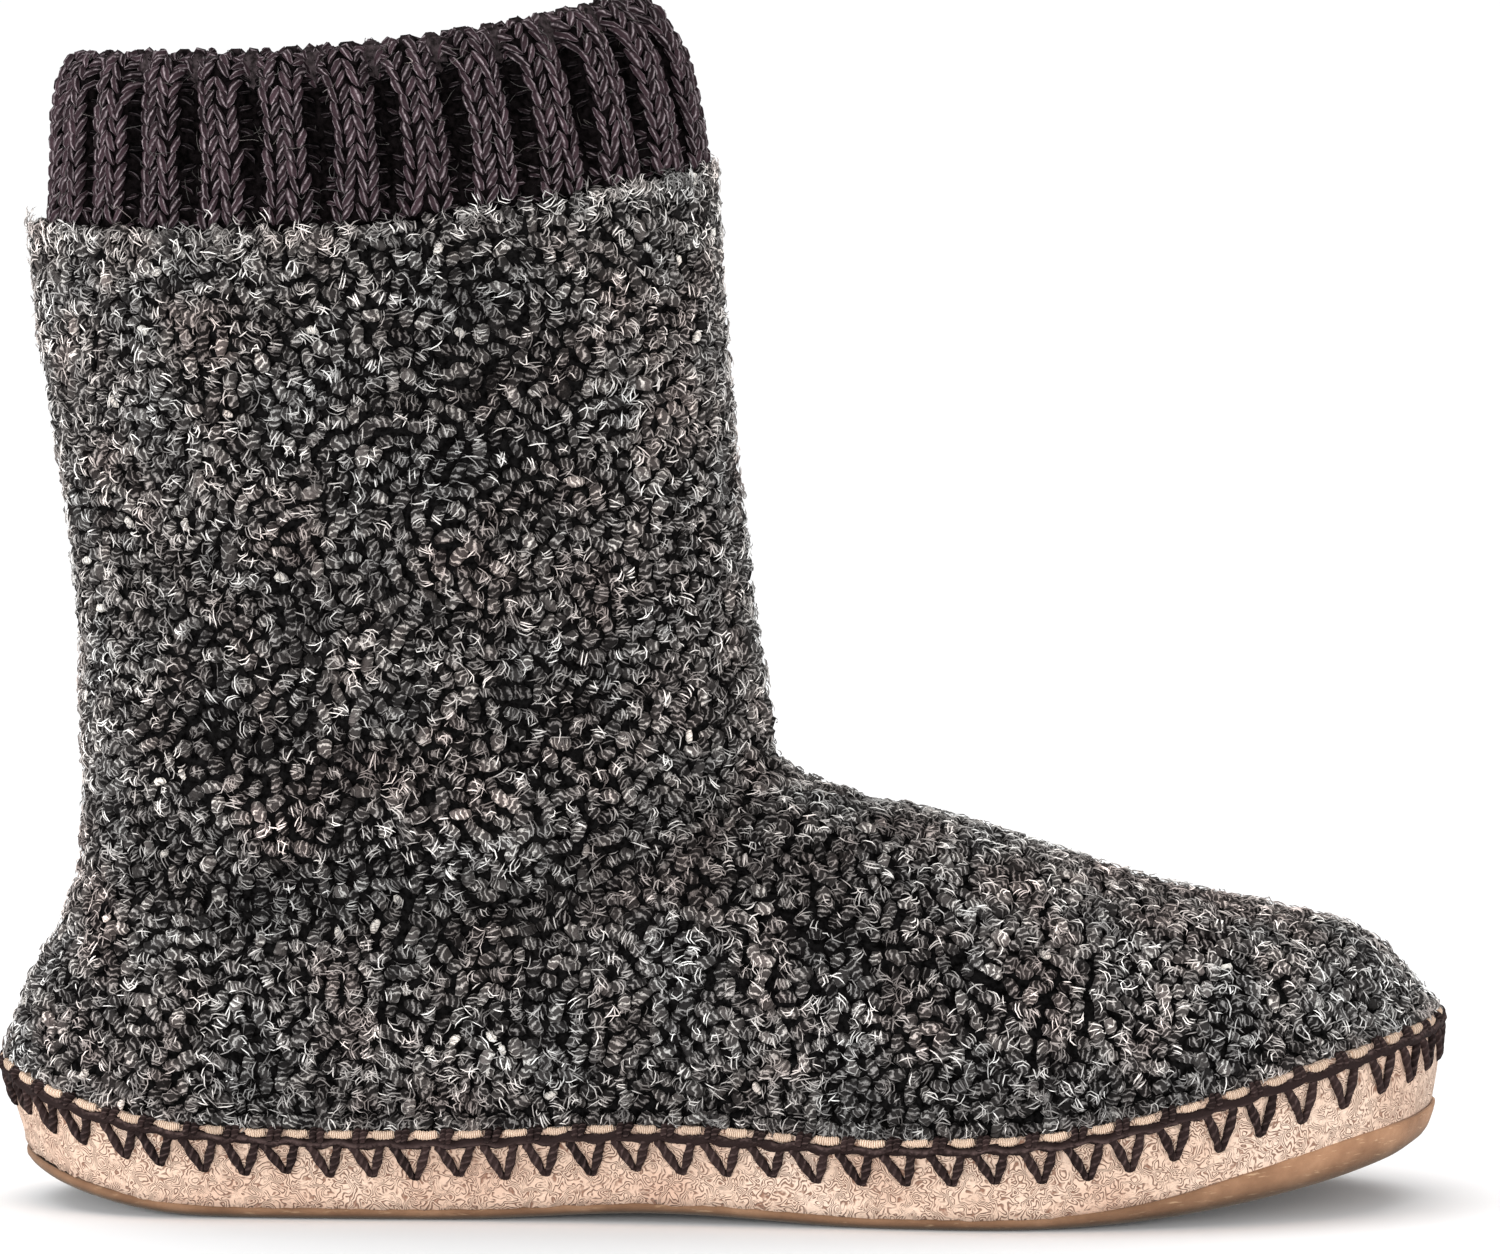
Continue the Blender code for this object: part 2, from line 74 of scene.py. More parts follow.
upper = {
    "wall": 4.0 * mm, "instepHeight": 80.7 * mm, "shaftRise": 101.0 * mm,
    "shaftDepth": 127 * mm, "shaftWidth": 92 * mm,
    "seamSlant": 10.8 * mm, "slantStart": 0.25, "slantCurve": 1.7,
    "foot": (  # height share, back, front, width, last, egg
        (0.022, 0.003, 0.991, 0.985, 1.00, 0.00), (0.090, 0.004, 0.982, 0.995, 1.00, 0.00),
        (0.189, 0.008, 0.970, 0.998, 0.95, 0.04), (0.287, 0.016, 0.957, 0.985, 0.88, 0.09),
        (0.381, 0.026, 0.934, 0.962, 0.78, 0.14), (0.454, 0.035, 0.897, 0.938, 0.68, 0.18),
        (0.530, 0.042, 0.860, 0.910, 0.57, 0.22), (0.605, 0.048, 0.814, 0.882, 0.46, 0.26),
        (0.673, 0.052, 0.775, 0.858, 0.37, 0.29), (0.762, 0.054, 0.720, 0.832, 0.26, 0.29),
        (0.843, 0.055, 0.666, 0.812, 0.17, 0.27), (0.924, 0.057, 0.596, 0.796, 0.08, 0.23),
        (1.000, 0.057, 0.548, 0.786, 0.00, 0.17),
    ),
    "shaft": (  # height share, back, depth, width, egg
        (0.09, 0.057, 1.002, 0.890, 0.13), (0.20, 0.055, 0.991, 0.905, 0.09),
        (0.36, 0.050, 0.987, 0.935, 0.05), (0.55, 0.040, 0.989, 0.970, 0.02),
        (0.76, 0.030, 0.994, 1.000, 0.00), (1.00, 0.020, 1.002, 0.985, 0.00),
    ),
    "ground": 0.9 * mm,  # how far the wall under the nubs lies inside the outer face
    "insideShade": 9.0, "columns": 168, "outsideRows": 76, "insideRows": 38, "slot": "upper",
}

cuff = {
    "height": 32.4 * mm, "thickness": 7.4 * mm, "setBack": 2.0 * mm, "forward": 1.2 * mm,
    "tail": 8.0 * mm, "ribs": 26, "firstRib": -0.17, "ribDepth": 2.6 * mm, "lean": 7.4 * mm, "grooveDrop": 0.5,
    "foldStart": 0.75, "seam": 0.6 * mm,
    "sections": (  # rise, inset, ribs
        (0.00, 0.00, 0.25), (0.12, 0.00, 0.55), (0.40, 0.06, 0.95), (0.66, 0.10, 1.00),
        (0.84, 0.24, 1.00), (0.95, 0.46, 0.95), (1.00, 0.78, 0.60), (0.93, 1.00, 0.00),
        (0.40, 1.00, 0.00),
    ),
    "ribProfile": (  # place across a rib, height
        (0.00, 0.00), (0.11, 0.06), (0.17, 0.55), (0.25, 0.86), (0.50, 1.00), (0.75, 0.86), (0.83, 0.55), (0.89, 0.06),
    ),
    "insideShade": 8.0, "slot": "cuff",
}


def hermite(at, knots, values):
    # cubic between table rows, with each row's slope taken from its neighbours
    knots, values = np.asarray(knots, float), np.asarray(values, float)
    slopes = np.gradient(values, knots)
    at = np.clip(at, knots[0], knots[-1])
    row = np.clip(np.searchsorted(knots, at, side="right") - 1, 0, len(knots) - 2)
    step = knots[row + 1] - knots[row]
    t = (at - knots[row]) / step
    start = (1 + 2 * t) * (1 - t) ** 2 * values[row] + t * (1 - t) ** 2 * step * slopes[row]
    return start + t * t * (3 - 2 * t) * values[row + 1] + t * t * (t - 1) * step * slopes[row + 1]


def ramp(at, low, high):
    # 3t^2 - 2t^3 with t running from 0 at low to 1 at high
    t = np.clip((np.asarray(at, float) - low) / (high - low), 0, 1)
    return t * t * (3 - 2 * t)


def outlineShares(count):
    # Catmull-Rom curve through the outline points, then even steps of arc length from heel to toe and back
    points = np.array(sole["outline"])
    before, after, nextAfter = (np.roll(points, -k, axis=0) for k in (-1, 1, 2))
    t = (np.arange(24) / 24)[None, :, None]
    a, b, c, d = (p[:, None, :] for p in (before, points, after, nextAfter))
    curve = (b + 0.5 * t * (c - a + t * (2 * a - 5 * b + 4 * c - d + t * (3 * (b - c) + d - a)))).reshape(-1, 2)
    low, high = curve.min(axis=0), curve.max(axis=0)
    curve[:, 0] = (curve[:, 0] - low[0]) / (high[0] - low[0])
    curve[:, 1] = (curve[:, 1] - (low[1] + high[1]) / 2) / (high[1] - low[1])
    toe = int(np.argmax(curve[:, 0]))
    found = []
    for side in (curve[: toe + 1], np.vstack([curve[toe:], curve[:1]])):
        run = np.concatenate([[0], np.cumsum(np.linalg.norm(np.diff(side, axis=0), axis=1))])
        at = np.linspace(0, run[-1], count // 2, endpoint=False)
        found.append(np.stack([np.interp(at, run, side[:, k]) for k in (0, 1)], axis=1))
    return np.vstack(found)


def planLoop(count):
    # outline shares times length and width, with x from the middle of the sole
    shares = outlineShares(count)
    return np.stack([(shares[:, 0] - 0.5) * sole["length"], shares[:, 1] * sole["ballWidth"]], axis=1)


def inward(loop):
    # unit normals of a closed plan loop: its chord from neighbour to neighbour turned a quarter to the left
    chord = np.roll(loop[:, :2], -1, axis=0) - np.roll(loop[:, :2], 1, axis=0)
    normal = np.stack([-chord[:, 1], chord[:, 0]], axis=1)
    return normal / np.linalg.norm(normal, axis=1)[:, None]


def station(x):
    return np.asarray(x, float) / sole["length"] + 0.5


def underside(x, toEdge):
    # flat heel and ball, power curves up at both ends, a sine arch between, and a dish towards the edge
    s = station(x)
    heel = sole["heelRise"] * np.clip(1 - s / sole["heelFlat"][0], 0, None) ** sole["heelCurve"]
    toeShare = np.clip((s - sole["ballFlat"][1]) / (1 - sole["ballFlat"][1]), 0, None)
    archShare = np.clip((s - sole["heelFlat"][1]) / (sole["ballFlat"][0] - sole["heelFlat"][1]), 0, 1)
    line = heel + sole["toeSpring"] * toeShare ** sole["toeCurve"] + sole["archRise"] * np.sin(math.pi * archShare) ** 2
    lift = sole["toeDish"] * ramp(s, *sole["toeDishAt"]) + sole["heelDish"] * (1 - ramp(s, *sole["heelDishAt"]))
    return line + lift * toEdge ** sole["dishCurve"]


def outsoleRoof(x, toEdge):
    return underside(x, toEdge) + sole["thickness"] + sole["toeExtra"] * ramp(station(x), *sole["toeExtraAt"])


def randFoot(x):
    return outsoleRoof(x, 1) + sole["clearance"]


def randHeight(x):
    s = station(x)
    heel = rand["heelExtra"] * (1 - ramp(s, *rand["heelExtraAt"]))
    return rand["height"] + rand["toeExtra"] * ramp(s, *rand["toeExtraAt"]) + heel


def randTuck(x):
    s = station(x)
    heel = (rand["heelTuck"] - rand["sideTuck"]) * (1 - ramp(s, *rand["heelTuckAt"]))
    return rand["sideTuck"] + heel + (rand["toeTuck"] - rand["sideTuck"]) * ramp(s, *rand["toeTuckAt"])


randTop = sole["thickness"] + sole["clearance"] + rand["height"]
shaftTop = upper["instepHeight"] + upper["shaftRise"]
shaftBack = (upper["shaft"][-1][1] - 0.5) * sole["length"]


def randSurface(plan, normal, share, depth):
    # plan point moved in by tuck * (1 - share)^1.7 + depth, at foot + share * height
    x = plan[..., 0]
    moved = plan + normal * (randTuck(x) * (1 - share) ** rand["tuckCurve"] + depth)[..., None]
    return np.concatenate([moved, (randFoot(x) + share * randHeight(x))[..., None]], axis=-1)


def sectionTable():
    # both tables of the upper in metres: height, back, front, width, last, egg
    rows = [(randTop + h * (upper["instepHeight"] - randTop), b * sole["length"], f * sole["length"],
             w * sole["ballWidth"], l, e) for h, b, f, w, l, e in upper["foot"]]
    rows += [(upper["instepHeight"] + h * upper["shaftRise"], b * sole["length"],
              b * sole["length"] + d * upper["shaftDepth"], w * upper["shaftWidth"], 0, e)
             for h, b, d, w, e in upper["shaft"]]
    return np.array(rows)


def seamRise(x):
    climb = np.clip(((x - shaftBack) / upper["shaftDepth"] - upper["slantStart"]) / (1 - upper["slantStart"]), 0, 1)
    return upper["seamSlant"] * climb ** upper["slantCurve"]


def upperSurface(columns, heights):
    # each level mixes the sole's outline and an egg by the table, then rises with the rand and the seam
    table = sectionTable()
    back, front, width, last, egg = (hermite(heights, table[:, 0], table[:, k])[:, None] for k in range(1, 6))
    shares = outlineShares(columns)
    turn = np.arange(columns) / columns * 2 * math.pi
    along = last * shares[:, 0] + (1 - last) * (1 - np.cos(turn)) / 2
    across = last * shares[:, 1] + (1 - last) * (-0.5 * np.sin(turn) * (1 + egg * np.cos(turn)))
    x = back + (front - back) * along - sole["length"] / 2
    h = heights[:, None]
    lowShare = np.clip((upper["instepHeight"] - h) / (upper["instepHeight"] - randTop), 0, 1)
    highShare = ramp(h, upper["instepHeight"], shaftTop)
    z = h + (randFoot(x) + randHeight(x) - randTop) * lowShare + seamRise(x) * highShare
    return np.stack([x, across * width, z], axis=-1)


# tools for grids, tubes and pieces

def gridNormals(grid):
    # cross product of the step round the loop and the step up, for a grid closed round its columns
    around = np.roll(grid, -1, axis=1) - np.roll(grid, 1, axis=1)
    normal = np.cross(around, np.gradient(grid, axis=0))
    return normal / np.maximum(np.linalg.norm(normal, axis=-1, keepdims=True), 1e-12)


def readGrid(grid, u, v):
    # bilinear reading at column u, which wraps round, and row v
    rows, columns = grid.shape[:2]
    v = np.clip(v, 0, rows - 1.0001)
    i, j = np.floor(v).astype(int), np.floor(u).astype(int)
    fv, fu = (v - i)[..., None], (u - j)[..., None]
    j, k = j % columns, (j + 1) % columns
    return (1 - fv) * ((1 - fu) * grid[i, j] + fu * grid[i, k]) + fv * ((1 - fu) * grid[i + 1, j] + fu * grid[i + 1, k])


def unit(vectors):
    return vectors / np.maximum(np.linalg.norm(vectors, axis=-1, keepdims=True), 1e-12)


def cornerUVs(*pairs):
    # one (u, v) for each corner of a set of faces
    return np.stack([np.stack(np.broadcast_arrays(u, v), axis=-1) for u, v in pairs], axis=-2)


def makePiece(name, points, faceSets, uvSets, material, values=None):
    # puts arrays of points, faces (one array for each number of corners) and corner UVs into a mesh
    mesh = bpy.data.meshes.new(name)
    corners = np.concatenate([f.ravel() for f in faceSets]).astype(np.int32)
    sizes = np.concatenate([np.full(len(f), f.shape[1]) for f in faceSets])
    starts = np.concatenate([[0], np.cumsum(sizes)[:-1]]).astype(np.int32)
    mesh.vertices.add(len(points))
    mesh.vertices.foreach_set("co", points.astype(np.float32).ravel())
    mesh.loops.add(len(corners))
    mesh.loops.foreach_set("vertex_index", corners)
    mesh.polygons.add(len(sizes))
    mesh.polygons.foreach_set("loop_start", starts)
    mesh.update(calc_edges=True)
    layer = mesh.uv_layers.new(name="UVMap")
    layer.data.foreach_set("uv", np.concatenate([u.reshape(-1, 2) for u in uvSets]).astype(np.float32).ravel())
    for key, value in (values or {}).items():
        mesh.attributes.new(key, "FLOAT", "POINT").data.foreach_set("value", value.astype(np.float32).ravel())
    mesh.shade_smooth()
    mesh.materials.append(material)
    made = bpy.data.objects.new(name, mesh)
    bpy.context.scene.collection.objects.link(made)
    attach(made, root)
    print(f"{name}: {int((sizes - 2).sum())} triangles")
    return made


def tubes(paths, radii, sides, reference, lobes=0.0, twist=0.0, flat=1.0, closed=False):
    # a profile r(angle) = radius * (1 + lobes * cos(2 angle - twist * k)) carried along each path;
    # the first and last path points are the closing poles, or a closed path joins its ends
    count, rings = paths.shape[:2]
    tangent = unit(np.roll(paths, -1, axis=1) - np.roll(paths, 1, axis=1) if closed else np.gradient(paths, axis=1))
    side = unit(np.cross(tangent, reference))
    up = np.cross(side, tangent)
    angle = np.arange(sides) / sides * 2 * math.pi
    turn = angle[None, None, :] * 2 - twist * np.arange(rings)[None, :, None]
    reach = radii[:, :, None] * (1 + lobes * np.cos(turn))
    shell = paths[:, :, None] + (reach * np.cos(angle))[..., None] * side[:, :, None] \
        + (reach * np.sin(angle) * flat)[..., None] * up[:, :, None]
    j = np.arange(sides)
    follow = (j + 1) % sides
    uLow, uHigh = j / sides, (j + 1) / sides
    perPath = rings * sides if closed else (rings - 2) * sides + 2
    k = np.arange(rings if closed else rings - 3)[:, None]
    after = (k + 1) % rings if closed else k + 1
    ring, ahead = k * sides, after * sides
    quads = np.stack([ring + j, ahead + j, ahead + follow, ring + follow], axis=-1).reshape(-1, 4)
    vLow, vHigh = (k / rings, (k + 1) / rings) if closed else ((k + 1) / (rings - 1), (k + 2) / (rings - 1))
    shift = (np.arange(count) * perPath)[:, None, None]
    uvSets = [cornerUVs((uLow, vLow), (uLow, vHigh), (uHigh, vHigh), (uHigh, vLow)).reshape(-1, 4, 2)]
    if closed:
        points, faceSets = shell.reshape(-1, 3), [quads[None] + shift]
    else:
        body = shell[:, 1:-1].reshape(count, (rings - 2) * sides, 3)
        points = np.concatenate([paths[:, :1], body, paths[:, -1:]], axis=1).reshape(-1, 3)
        last, pole = 1 + (rings - 3) * sides, perPath - 1
        triangles = np.concatenate([np.stack([0 * j, 1 + j, 1 + follow], axis=1),
                                    np.stack([last + j, pole + 0 * j, last + follow], axis=1)])
        middle, end = (j + 0.5) / sides, 1 / (rings - 1)
        uvSets.append(np.concatenate([cornerUVs((middle, 0), (uLow, end), (uHigh, end)),
                                      cornerUVs((uLow, 1 - end), (middle, 1), (uHigh, 1 - end))]))
        faceSets = [1 + quads[None] + shift, triangles[None] + shift]
    faceSets = [faces.reshape(-1, faces.shape[-1]) for faces in faceSets]
    return points, faceSets, [np.broadcast_to(uv, (count,) + uv.shape) for uv in uvSets], perPath


def tubePiece(name, paths, radii, sides, reference, material, slotName, values, **shape):
    # one joined mesh of many tubes, with each tube's own values as attributes
    points, faceSets, uvSets, perPath = tubes(paths, radii, sides, reference, **shape)
    spread = {key: np.repeat(value, perPath) for key, value in values.items()}
    return makePiece(name, points, faceSets, uvSets, material, spread)


def gridPiece(name, grid, material, values=None, closedRows=False):
    # quads between the rows of a grid closed round its columns; closedRows joins the last row to the first
    rows, columns = grid.shape[:2]
    i = np.arange(rows if closedRows else rows - 1)[:, None]
    j = np.arange(columns)[None, :]
    nextRow, nextColumn = (i + 1) % rows, (j + 1) % columns
    quads = np.stack([i * columns + j, i * columns + nextColumn, nextRow * columns + nextColumn,
                      nextRow * columns + j], axis=-1).reshape(-1, 4)
    uLow, vLow = j / columns, i / rows
    uHigh, vHigh = uLow + 1 / columns, vLow + 1 / rows
    uv = cornerUVs((uLow, vLow), (uHigh, vLow), (uHigh, vHigh), (uLow, vHigh)).reshape(-1, 4, 2)
    return makePiece(name, grid.reshape(-1, 3), [quads], [uv], material, values)


# node helpers: each adds to the material being made and returns a socket

paint = {}  # the material being made: its tree, its shader and its object coordinates


def startMaterial(name, roughness, sheen=0.0, sheenTint=(1, 1, 1), specular=0.3):
    made = bpy.data.materials.new(name)
    made.use_nodes = True
    shader = made.node_tree.nodes["Principled BSDF"]
    for socket, value in (("Roughness", roughness), ("Specular IOR Level", specular), ("Sheen Weight", sheen),
                          ("Sheen Roughness", 0.5), ("Sheen Tint", (*sheenTint, 1))):
        shader.inputs[socket].default_value = value
    paint.update(material=made, tree=made.node_tree, shader=shader)
    paint["where"] = addNode("ShaderNodeTexCoord").outputs


def addNode(kind, inputs=None, **settings):
    # a node with its settings, its inputs given as values or as sockets to link from
    made = paint["tree"].nodes.new(kind)
    for key, value in settings.items():
        setattr(made, key, value)
    for key, value in (inputs or {}).items():
        if isinstance(value, bpy.types.NodeSocket):
            paint["tree"].links.new(value, made.inputs[key])
        else:
            made.inputs[key].default_value = value
    return made


def calc(operation, *values):
    return addNode("ShaderNodeMath", dict(enumerate(values)), operation=operation).outputs[0]


def times(first, second):
    return calc("MULTIPLY", first, second)


def timesPlus(first, second, added):
    return calc("MULTIPLY_ADD", first, second, added)


def halfWave(phase):
    # 0.5 + 0.5 sin(phase)
    return timesPlus(calc("SINE", phase), 0.5, 0.5)


def noise(scale, detail, roughness=0.55, distortion=0.0, stretch=None):
    vector = paint["where"]["Object"]
    if stretch is not None:
        vector = addNode("ShaderNodeMapping", {"Vector": vector, "Scale": stretch}).outputs[0]
    return addNode("ShaderNodeTexNoise", {"Vector": vector, "Scale": scale, "Detail": detail,
                                          "Roughness": roughness, "Distortion": distortion}).outputs["Fac"]


def uvParts():
    return addNode("ShaderNodeSeparateXYZ", {0: paint["where"]["UV"]}).outputs


def attribute(name):
    return addNode("ShaderNodeAttribute", attribute_name=name).outputs["Fac"]


def colours(factor, *stops):
    # colour ramp from (place, colour) stops
    made = addNode("ShaderNodeValToRGB", {"Fac": factor})
    elements = made.color_ramp.elements
    while len(elements) < len(stops):
        elements.new(0.5)
    for element, (place, colour) in zip(elements, stops):
        element.position = place
        element.color = (*colour, 1)
    return made.outputs["Color"]


def greys(factor, *stops):
    return colours(factor, *((place, (grey, grey, grey)) for place, grey in stops))


def mixed(factor, first, second, blend="MIX"):
    inputs = {0: factor, 6: first, 7: second}
    inputs = {key: (*value, 1) if isinstance(value, tuple) else value for key, value in inputs.items()}
    return addNode("ShaderNodeMix", inputs, data_type="RGBA", blend_type=blend).outputs[2]


def speckled(colour, share, pattern, darkest):
    # colour darkened by a share of a noise pattern
    return mixed(share, colour, greys(pattern, (0.3, darkest), (0.7, 1)), "MULTIPLY")


def shaded(colour):
    # colour times the piece's own shade attribute
    shade = attribute("shade")
    return mixed(1.0, colour, addNode("ShaderNodeCombineColor", {0: shade, 1: shade, 2: shade}).outputs[0], "MULTIPLY")


def dyed(colour):
    # slow patches of warmer and cooler dye over the whole knit
    dye = colours(noise(62, 2), (0.36, (0.97, 1.0, 1.015)), (0.52, (1.01, 0.985, 0.975)), (0.68, (1.08, 0.965, 0.94)))
    return mixed(1.0, colour, dye, "MULTIPLY")


def finishMaterial(colour, height, strength, depth):
    # colour and bump, the bump's depth in mm
    bump = addNode("ShaderNodeBump", {"Height": height, "Strength": strength, "Distance": depth * mm})
    paint["tree"].links.new(colour, paint["shader"].inputs["Base Color"])
    paint["tree"].links.new(bump.outputs["Normal"], paint["shader"].inputs["Normal"])
    return paint["material"]


def knitGroundMaterial(name, dark, light):
    # knit seen between the nubs and in the rib grooves: dark yarn painted down to nearly black as shade in the gaps,
    # crumbs of noise with a lighter speck here and there
    startMaterial(name, 0.95, specular=0.0)
    crumbs = noise(900, 4)
    cells = addNode("ShaderNodeTexVoronoi", {"Vector": paint["where"]["Object"], "Scale": 520.0}).outputs["Distance"]
    colour = colours(crumbs, (0.35, dark), (0.75, light))
    return finishMaterial(shaded(colour), timesPlus(cells, -0.8, crumbs), 0.9, 0.6)


def nubMaterial():
    # dark yarn wound with finer, lighter threads: stripes across the nub, broken up by noise
    startMaterial("nub yarn", 0.85, specular=0.03)
    u, v, _ = uvParts()
    tint = attribute("tint")
    fine = noise(700, 3)
    turns = timesPlus(v, 42.0, times(u, 12.5664))
    wave = halfWave(timesPlus(fine, 12.0, timesPlus(tint, 40.0, turns)))
    thread = times(calc("POWER", wave, 4.5), greys(noise(300, 2), (0.34, 0), (0.50, 1)))
    base = colours(tint, (0.0, (0.004, 0.0035, 0.0035)), (0.35, (0.018, 0.0165, 0.016)), (0.70, (0.053, 0.048, 0.046)),
                   (0.92, (0.13, 0.115, 0.11)), (1.0, (0.66, 0.62, 0.57)))
    light = colours(tint, (0.0, (0.13, 0.122, 0.118)), (0.5, (0.30, 0.285, 0.275)), (1.0, (0.80, 0.77, 0.72)))
    return finishMaterial(dyed(shaded(mixed(thread, base, light))), timesPlus(fine, 0.7, wave), 0.9, 0.35)


def fibreMaterial(name, *stops):
    # one thread's colour from its tint, a little uneven along its length
    startMaterial(name, 0.7, specular=0.15)
    uneven = noise(1500, 2)
    colour = speckled(colours(attribute("tint"), *stops), 0.5, uneven, 0.55)
    return finishMaterial(dyed(shaded(colour)), uneven, 0.4, 0.1)


def stitchMaterial(name, dark, mid, light, plies, lean, specks):
    # plied yarn: fine lighter lines on the ply crests that run along the stitch and lean with its twist, partly lighter
    # fibre and partly painted highlight, and uneven dye
    startMaterial(name, 0.75, specular=0.06)
    u, v, _ = uvParts()
    tint = attribute("tint")
    fuzz = noise(1100, 3)
    turns = timesPlus(u, 6.2832 * plies, times(v, 6.2832 * lean))
    wave = halfWave(timesPlus(fuzz, 3.0, timesPlus(tint, 30.0, turns)))
    lines = times(times(calc("POWER", wave, 4.0), specks), greys(fuzz, (0.35, 0.1), (0.65, 1)))
    colour = mixed(lines, colours(tint, (0.0, dark), (1.0, mid)), light)
    return finishMaterial(shaded(colour), timesPlus(fuzz, 0.5, wave), 0.9, 0.3)


def suedeMaterial():
    # brushed suede: worm-like grooves, with painted shade at their bottoms, are the sine of a phase that grows round
    # the rand (430 lines in all) and is bent by a slow noise that leans the lines and a quicker, stronger one that
    # curls them
    startMaterial("rand suede", 0.92, sheen=0.08, sheenTint=(1.0, 0.88, 0.80), specular=0.15)
    bend = timesPlus(noise(380, 1.2, 0.5, 0.5), 74.0, times(noise(95, 1), 75.0))
    wave = halfWave(timesPlus(uvParts()[0], 2 * math.pi * 430, bend))
    groove = greys(greys(wave, (0.0, 0), (0.50, 0.9), (1.0, 1)), (0.0, 1), (0.85, 0))
    worms = times(groove, greys(noise(520, 2), (0.34, 0.1), (0.52, 1)))
    nap = noise(1300, 4, 0.65)
    body = colours(noise(60, 3), (0.32, (0.57, 0.385, 0.29)), (0.55, (0.66, 0.487, 0.378)),
                   (0.75, (0.74, 0.573, 0.463)))
    # the dark brown in the grooves is painted shade
    colour = speckled(mixed(times(worms, 0.98), body, (0.23, 0.12, 0.08)), 0.35, nap, 0.6)
    return finishMaterial(shaded(colour), timesPlus(nap, 0.4, times(worms, -1.0)), 0.9, 0.4)


def outsoleMaterial():
    # brown suede sole: soft mottling, scuffs and a fine nap
    startMaterial("outsole suede", 0.9, sheen=0.15, sheenTint=(1.0, 0.85, 0.7), specular=0.2)
    scuffs = noise(260, 4, 0.6, stretch=(1.0, 1.0, 5.0))
    colour = colours(noise(95, 5, 0.6), (0.30, (0.115, 0.057, 0.030)), (0.55, (0.185, 0.100, 0.056)),
                     (0.75, (0.26, 0.151, 0.090)))
    colour = mixed(greys(scuffs, (0.60, 0), (0.72, 0.5)), colour, (0.42, 0.29, 0.18))
    return finishMaterial(shaded(colour), timesPlus(noise(1500, 4, 0.7), 0.6, scuffs), 0.6, 0.3)


def dashMaterial():
    # turned beige edge with a rib for each thread that lies across it, darker between the ribs as painted shade
    startMaterial("edge beige", 0.85, specular=0.1)
    wave = halfWave(times(uvParts()[1], 6.2832 * 12))
    fuzz = noise(1200, 3)
    colour = colours(wave, (0.0, (0.44, 0.28, 0.19)), (0.5, (0.80, 0.58, 0.43)), (1.0, (0.93, 0.73, 0.57)))
    return finishMaterial(shaded(speckled(colour, 0.4, fuzz, 0.5)), timesPlus(fuzz, 0.4, wave), 0.9, 0.3)


def fleeceMaterial(name, dark, light):
    # short dark pile: two sizes of noise in colour and height
    startMaterial(name, 0.95, sheen=0.4)
    pile, clumps = noise(800, 5, 0.7), noise(160, 3)
    colour = colours(timesPlus(clumps, 0.5, times(pile, 0.5)), (0.35, dark), (0.65, light))
    return finishMaterial(colour, timesPlus(clumps, 1.5, pile), 0.8, 0.9)


print("materials ready")

# knitted upper: a fine wall with folds under the nubs

folds = {
    # points are (x, z) in mm on the side view; depth below 0 is a ridge; side -1 outer, +1 inner, 0 both
    "list": (
        {"points": ((-106, 66), (-88, 59), (-63, 56), (-30, 58), (2, 70)), "depth": 2.2, "width": 7.5, "side": 0},
        {"points": ((-118, 90), (-80, 75), (-45, 73), (-8, 84)), "depth": -1.1, "width": 9, "side": 0},
        {"points": ((-96, 92), (-70, 84), (-42, 88), (-22, 97)), "depth": 1.7, "width": 6, "side": -1},
        {"points": ((-30, 66), (-12, 74), (2, 81)), "depth": 1.8, "width": 6, "side": 0},
        {"points": ((7, 99), (10, 89)), "depth": -1.2, "width": 9, "side": 0},
        {"points": ((15, 85), (28, 79)), "depth": 1.9, "width": 7, "side": 0},
        {"points": ((-84, 40), (-40, 36), (10, 44)), "depth": -0.9, "width": 12, "side": -1},
        {"points": ((14, 62), (34, 50), (60, 42)), "depth": 0.9, "width": 10, "side": 0},
        {"points": ((-110, 128), (-80, 121), (-40, 127)), "depth": 0.9, "width": 12, "side": 0},
        {"points": ((-60, 160), (-20, 150), (-2, 154)), "depth": 0.8, "width": 13, "side": -1},
    ),
    "wander": 0.35,  # mm of slow unevenness over the whole knit
}


def foldDepth(grid, normals):
    # sum over the folds of depth * exp(-(distance / width)^2), with the distance to the fold's line seen from the side
    flat = grid[..., (0, 2)] / mm
    total = np.zeros(grid.shape[:2])
    for fold in folds["list"]:
        line = np.array(fold["points"], float)
        nearest = np.full(grid.shape[:2], 1e9)
        for a, b in zip(line[:-1], line[1:]):
            share = np.clip(((flat - a) @ (b - a)) / ((b - a) @ (b - a)), 0, 1)
            nearest = np.minimum(nearest, np.linalg.norm(flat - a - share[..., None] * (b - a), axis=-1))
        seen = 1 if fold["side"] == 0 else ramp(normals[..., 1] * fold["side"], 0.0, 0.5)
        total += fold["depth"] * np.exp(-(nearest / fold["width"]) ** 2) * seen
    x, z = flat[..., 0], flat[..., 1]
    slow = np.sin(x / 9.1 + 0.7 * np.sin(z / 13)) * np.sin(z / 8.3 + 1.3 + 0.8 * np.sin(x / 17))
    return (total + folds["wander"] * slow) * mm


upperMap = {"columns": 720, "rows": 420}
firstLevel = randTop + upper["foot"][0][0] * (upper["instepHeight"] - randTop)
mapLevels = firstLevel + (shaftTop - firstLevel) * np.linspace(0, 1, upperMap["rows"]) ** 1.05
upperFace = upperSurface(upperMap["columns"], mapLevels)
upperNormals = gridNormals(upperFace)
mapRows = np.arange(upperMap["rows"])
edgeFade = (ramp(mapRows, 0, 40) * ramp(mapRows[::-1], 0, 30))[:, None]
upperFolds = foldDepth(upperFace, upperNormals) * edgeFade
upperFace = upperFace - upperNormals * (upperFolds + upper["ground"])[..., None]
upperNormals = gridNormals(upperFace)
upperNormals = unit(sum(np.roll(upperNormals, k, axis=1) for k in (-2, -1, 0, 1, 2)))
stepAround = (np.roll(upperFace, -1, axis=1) - upperFace)[:-1]
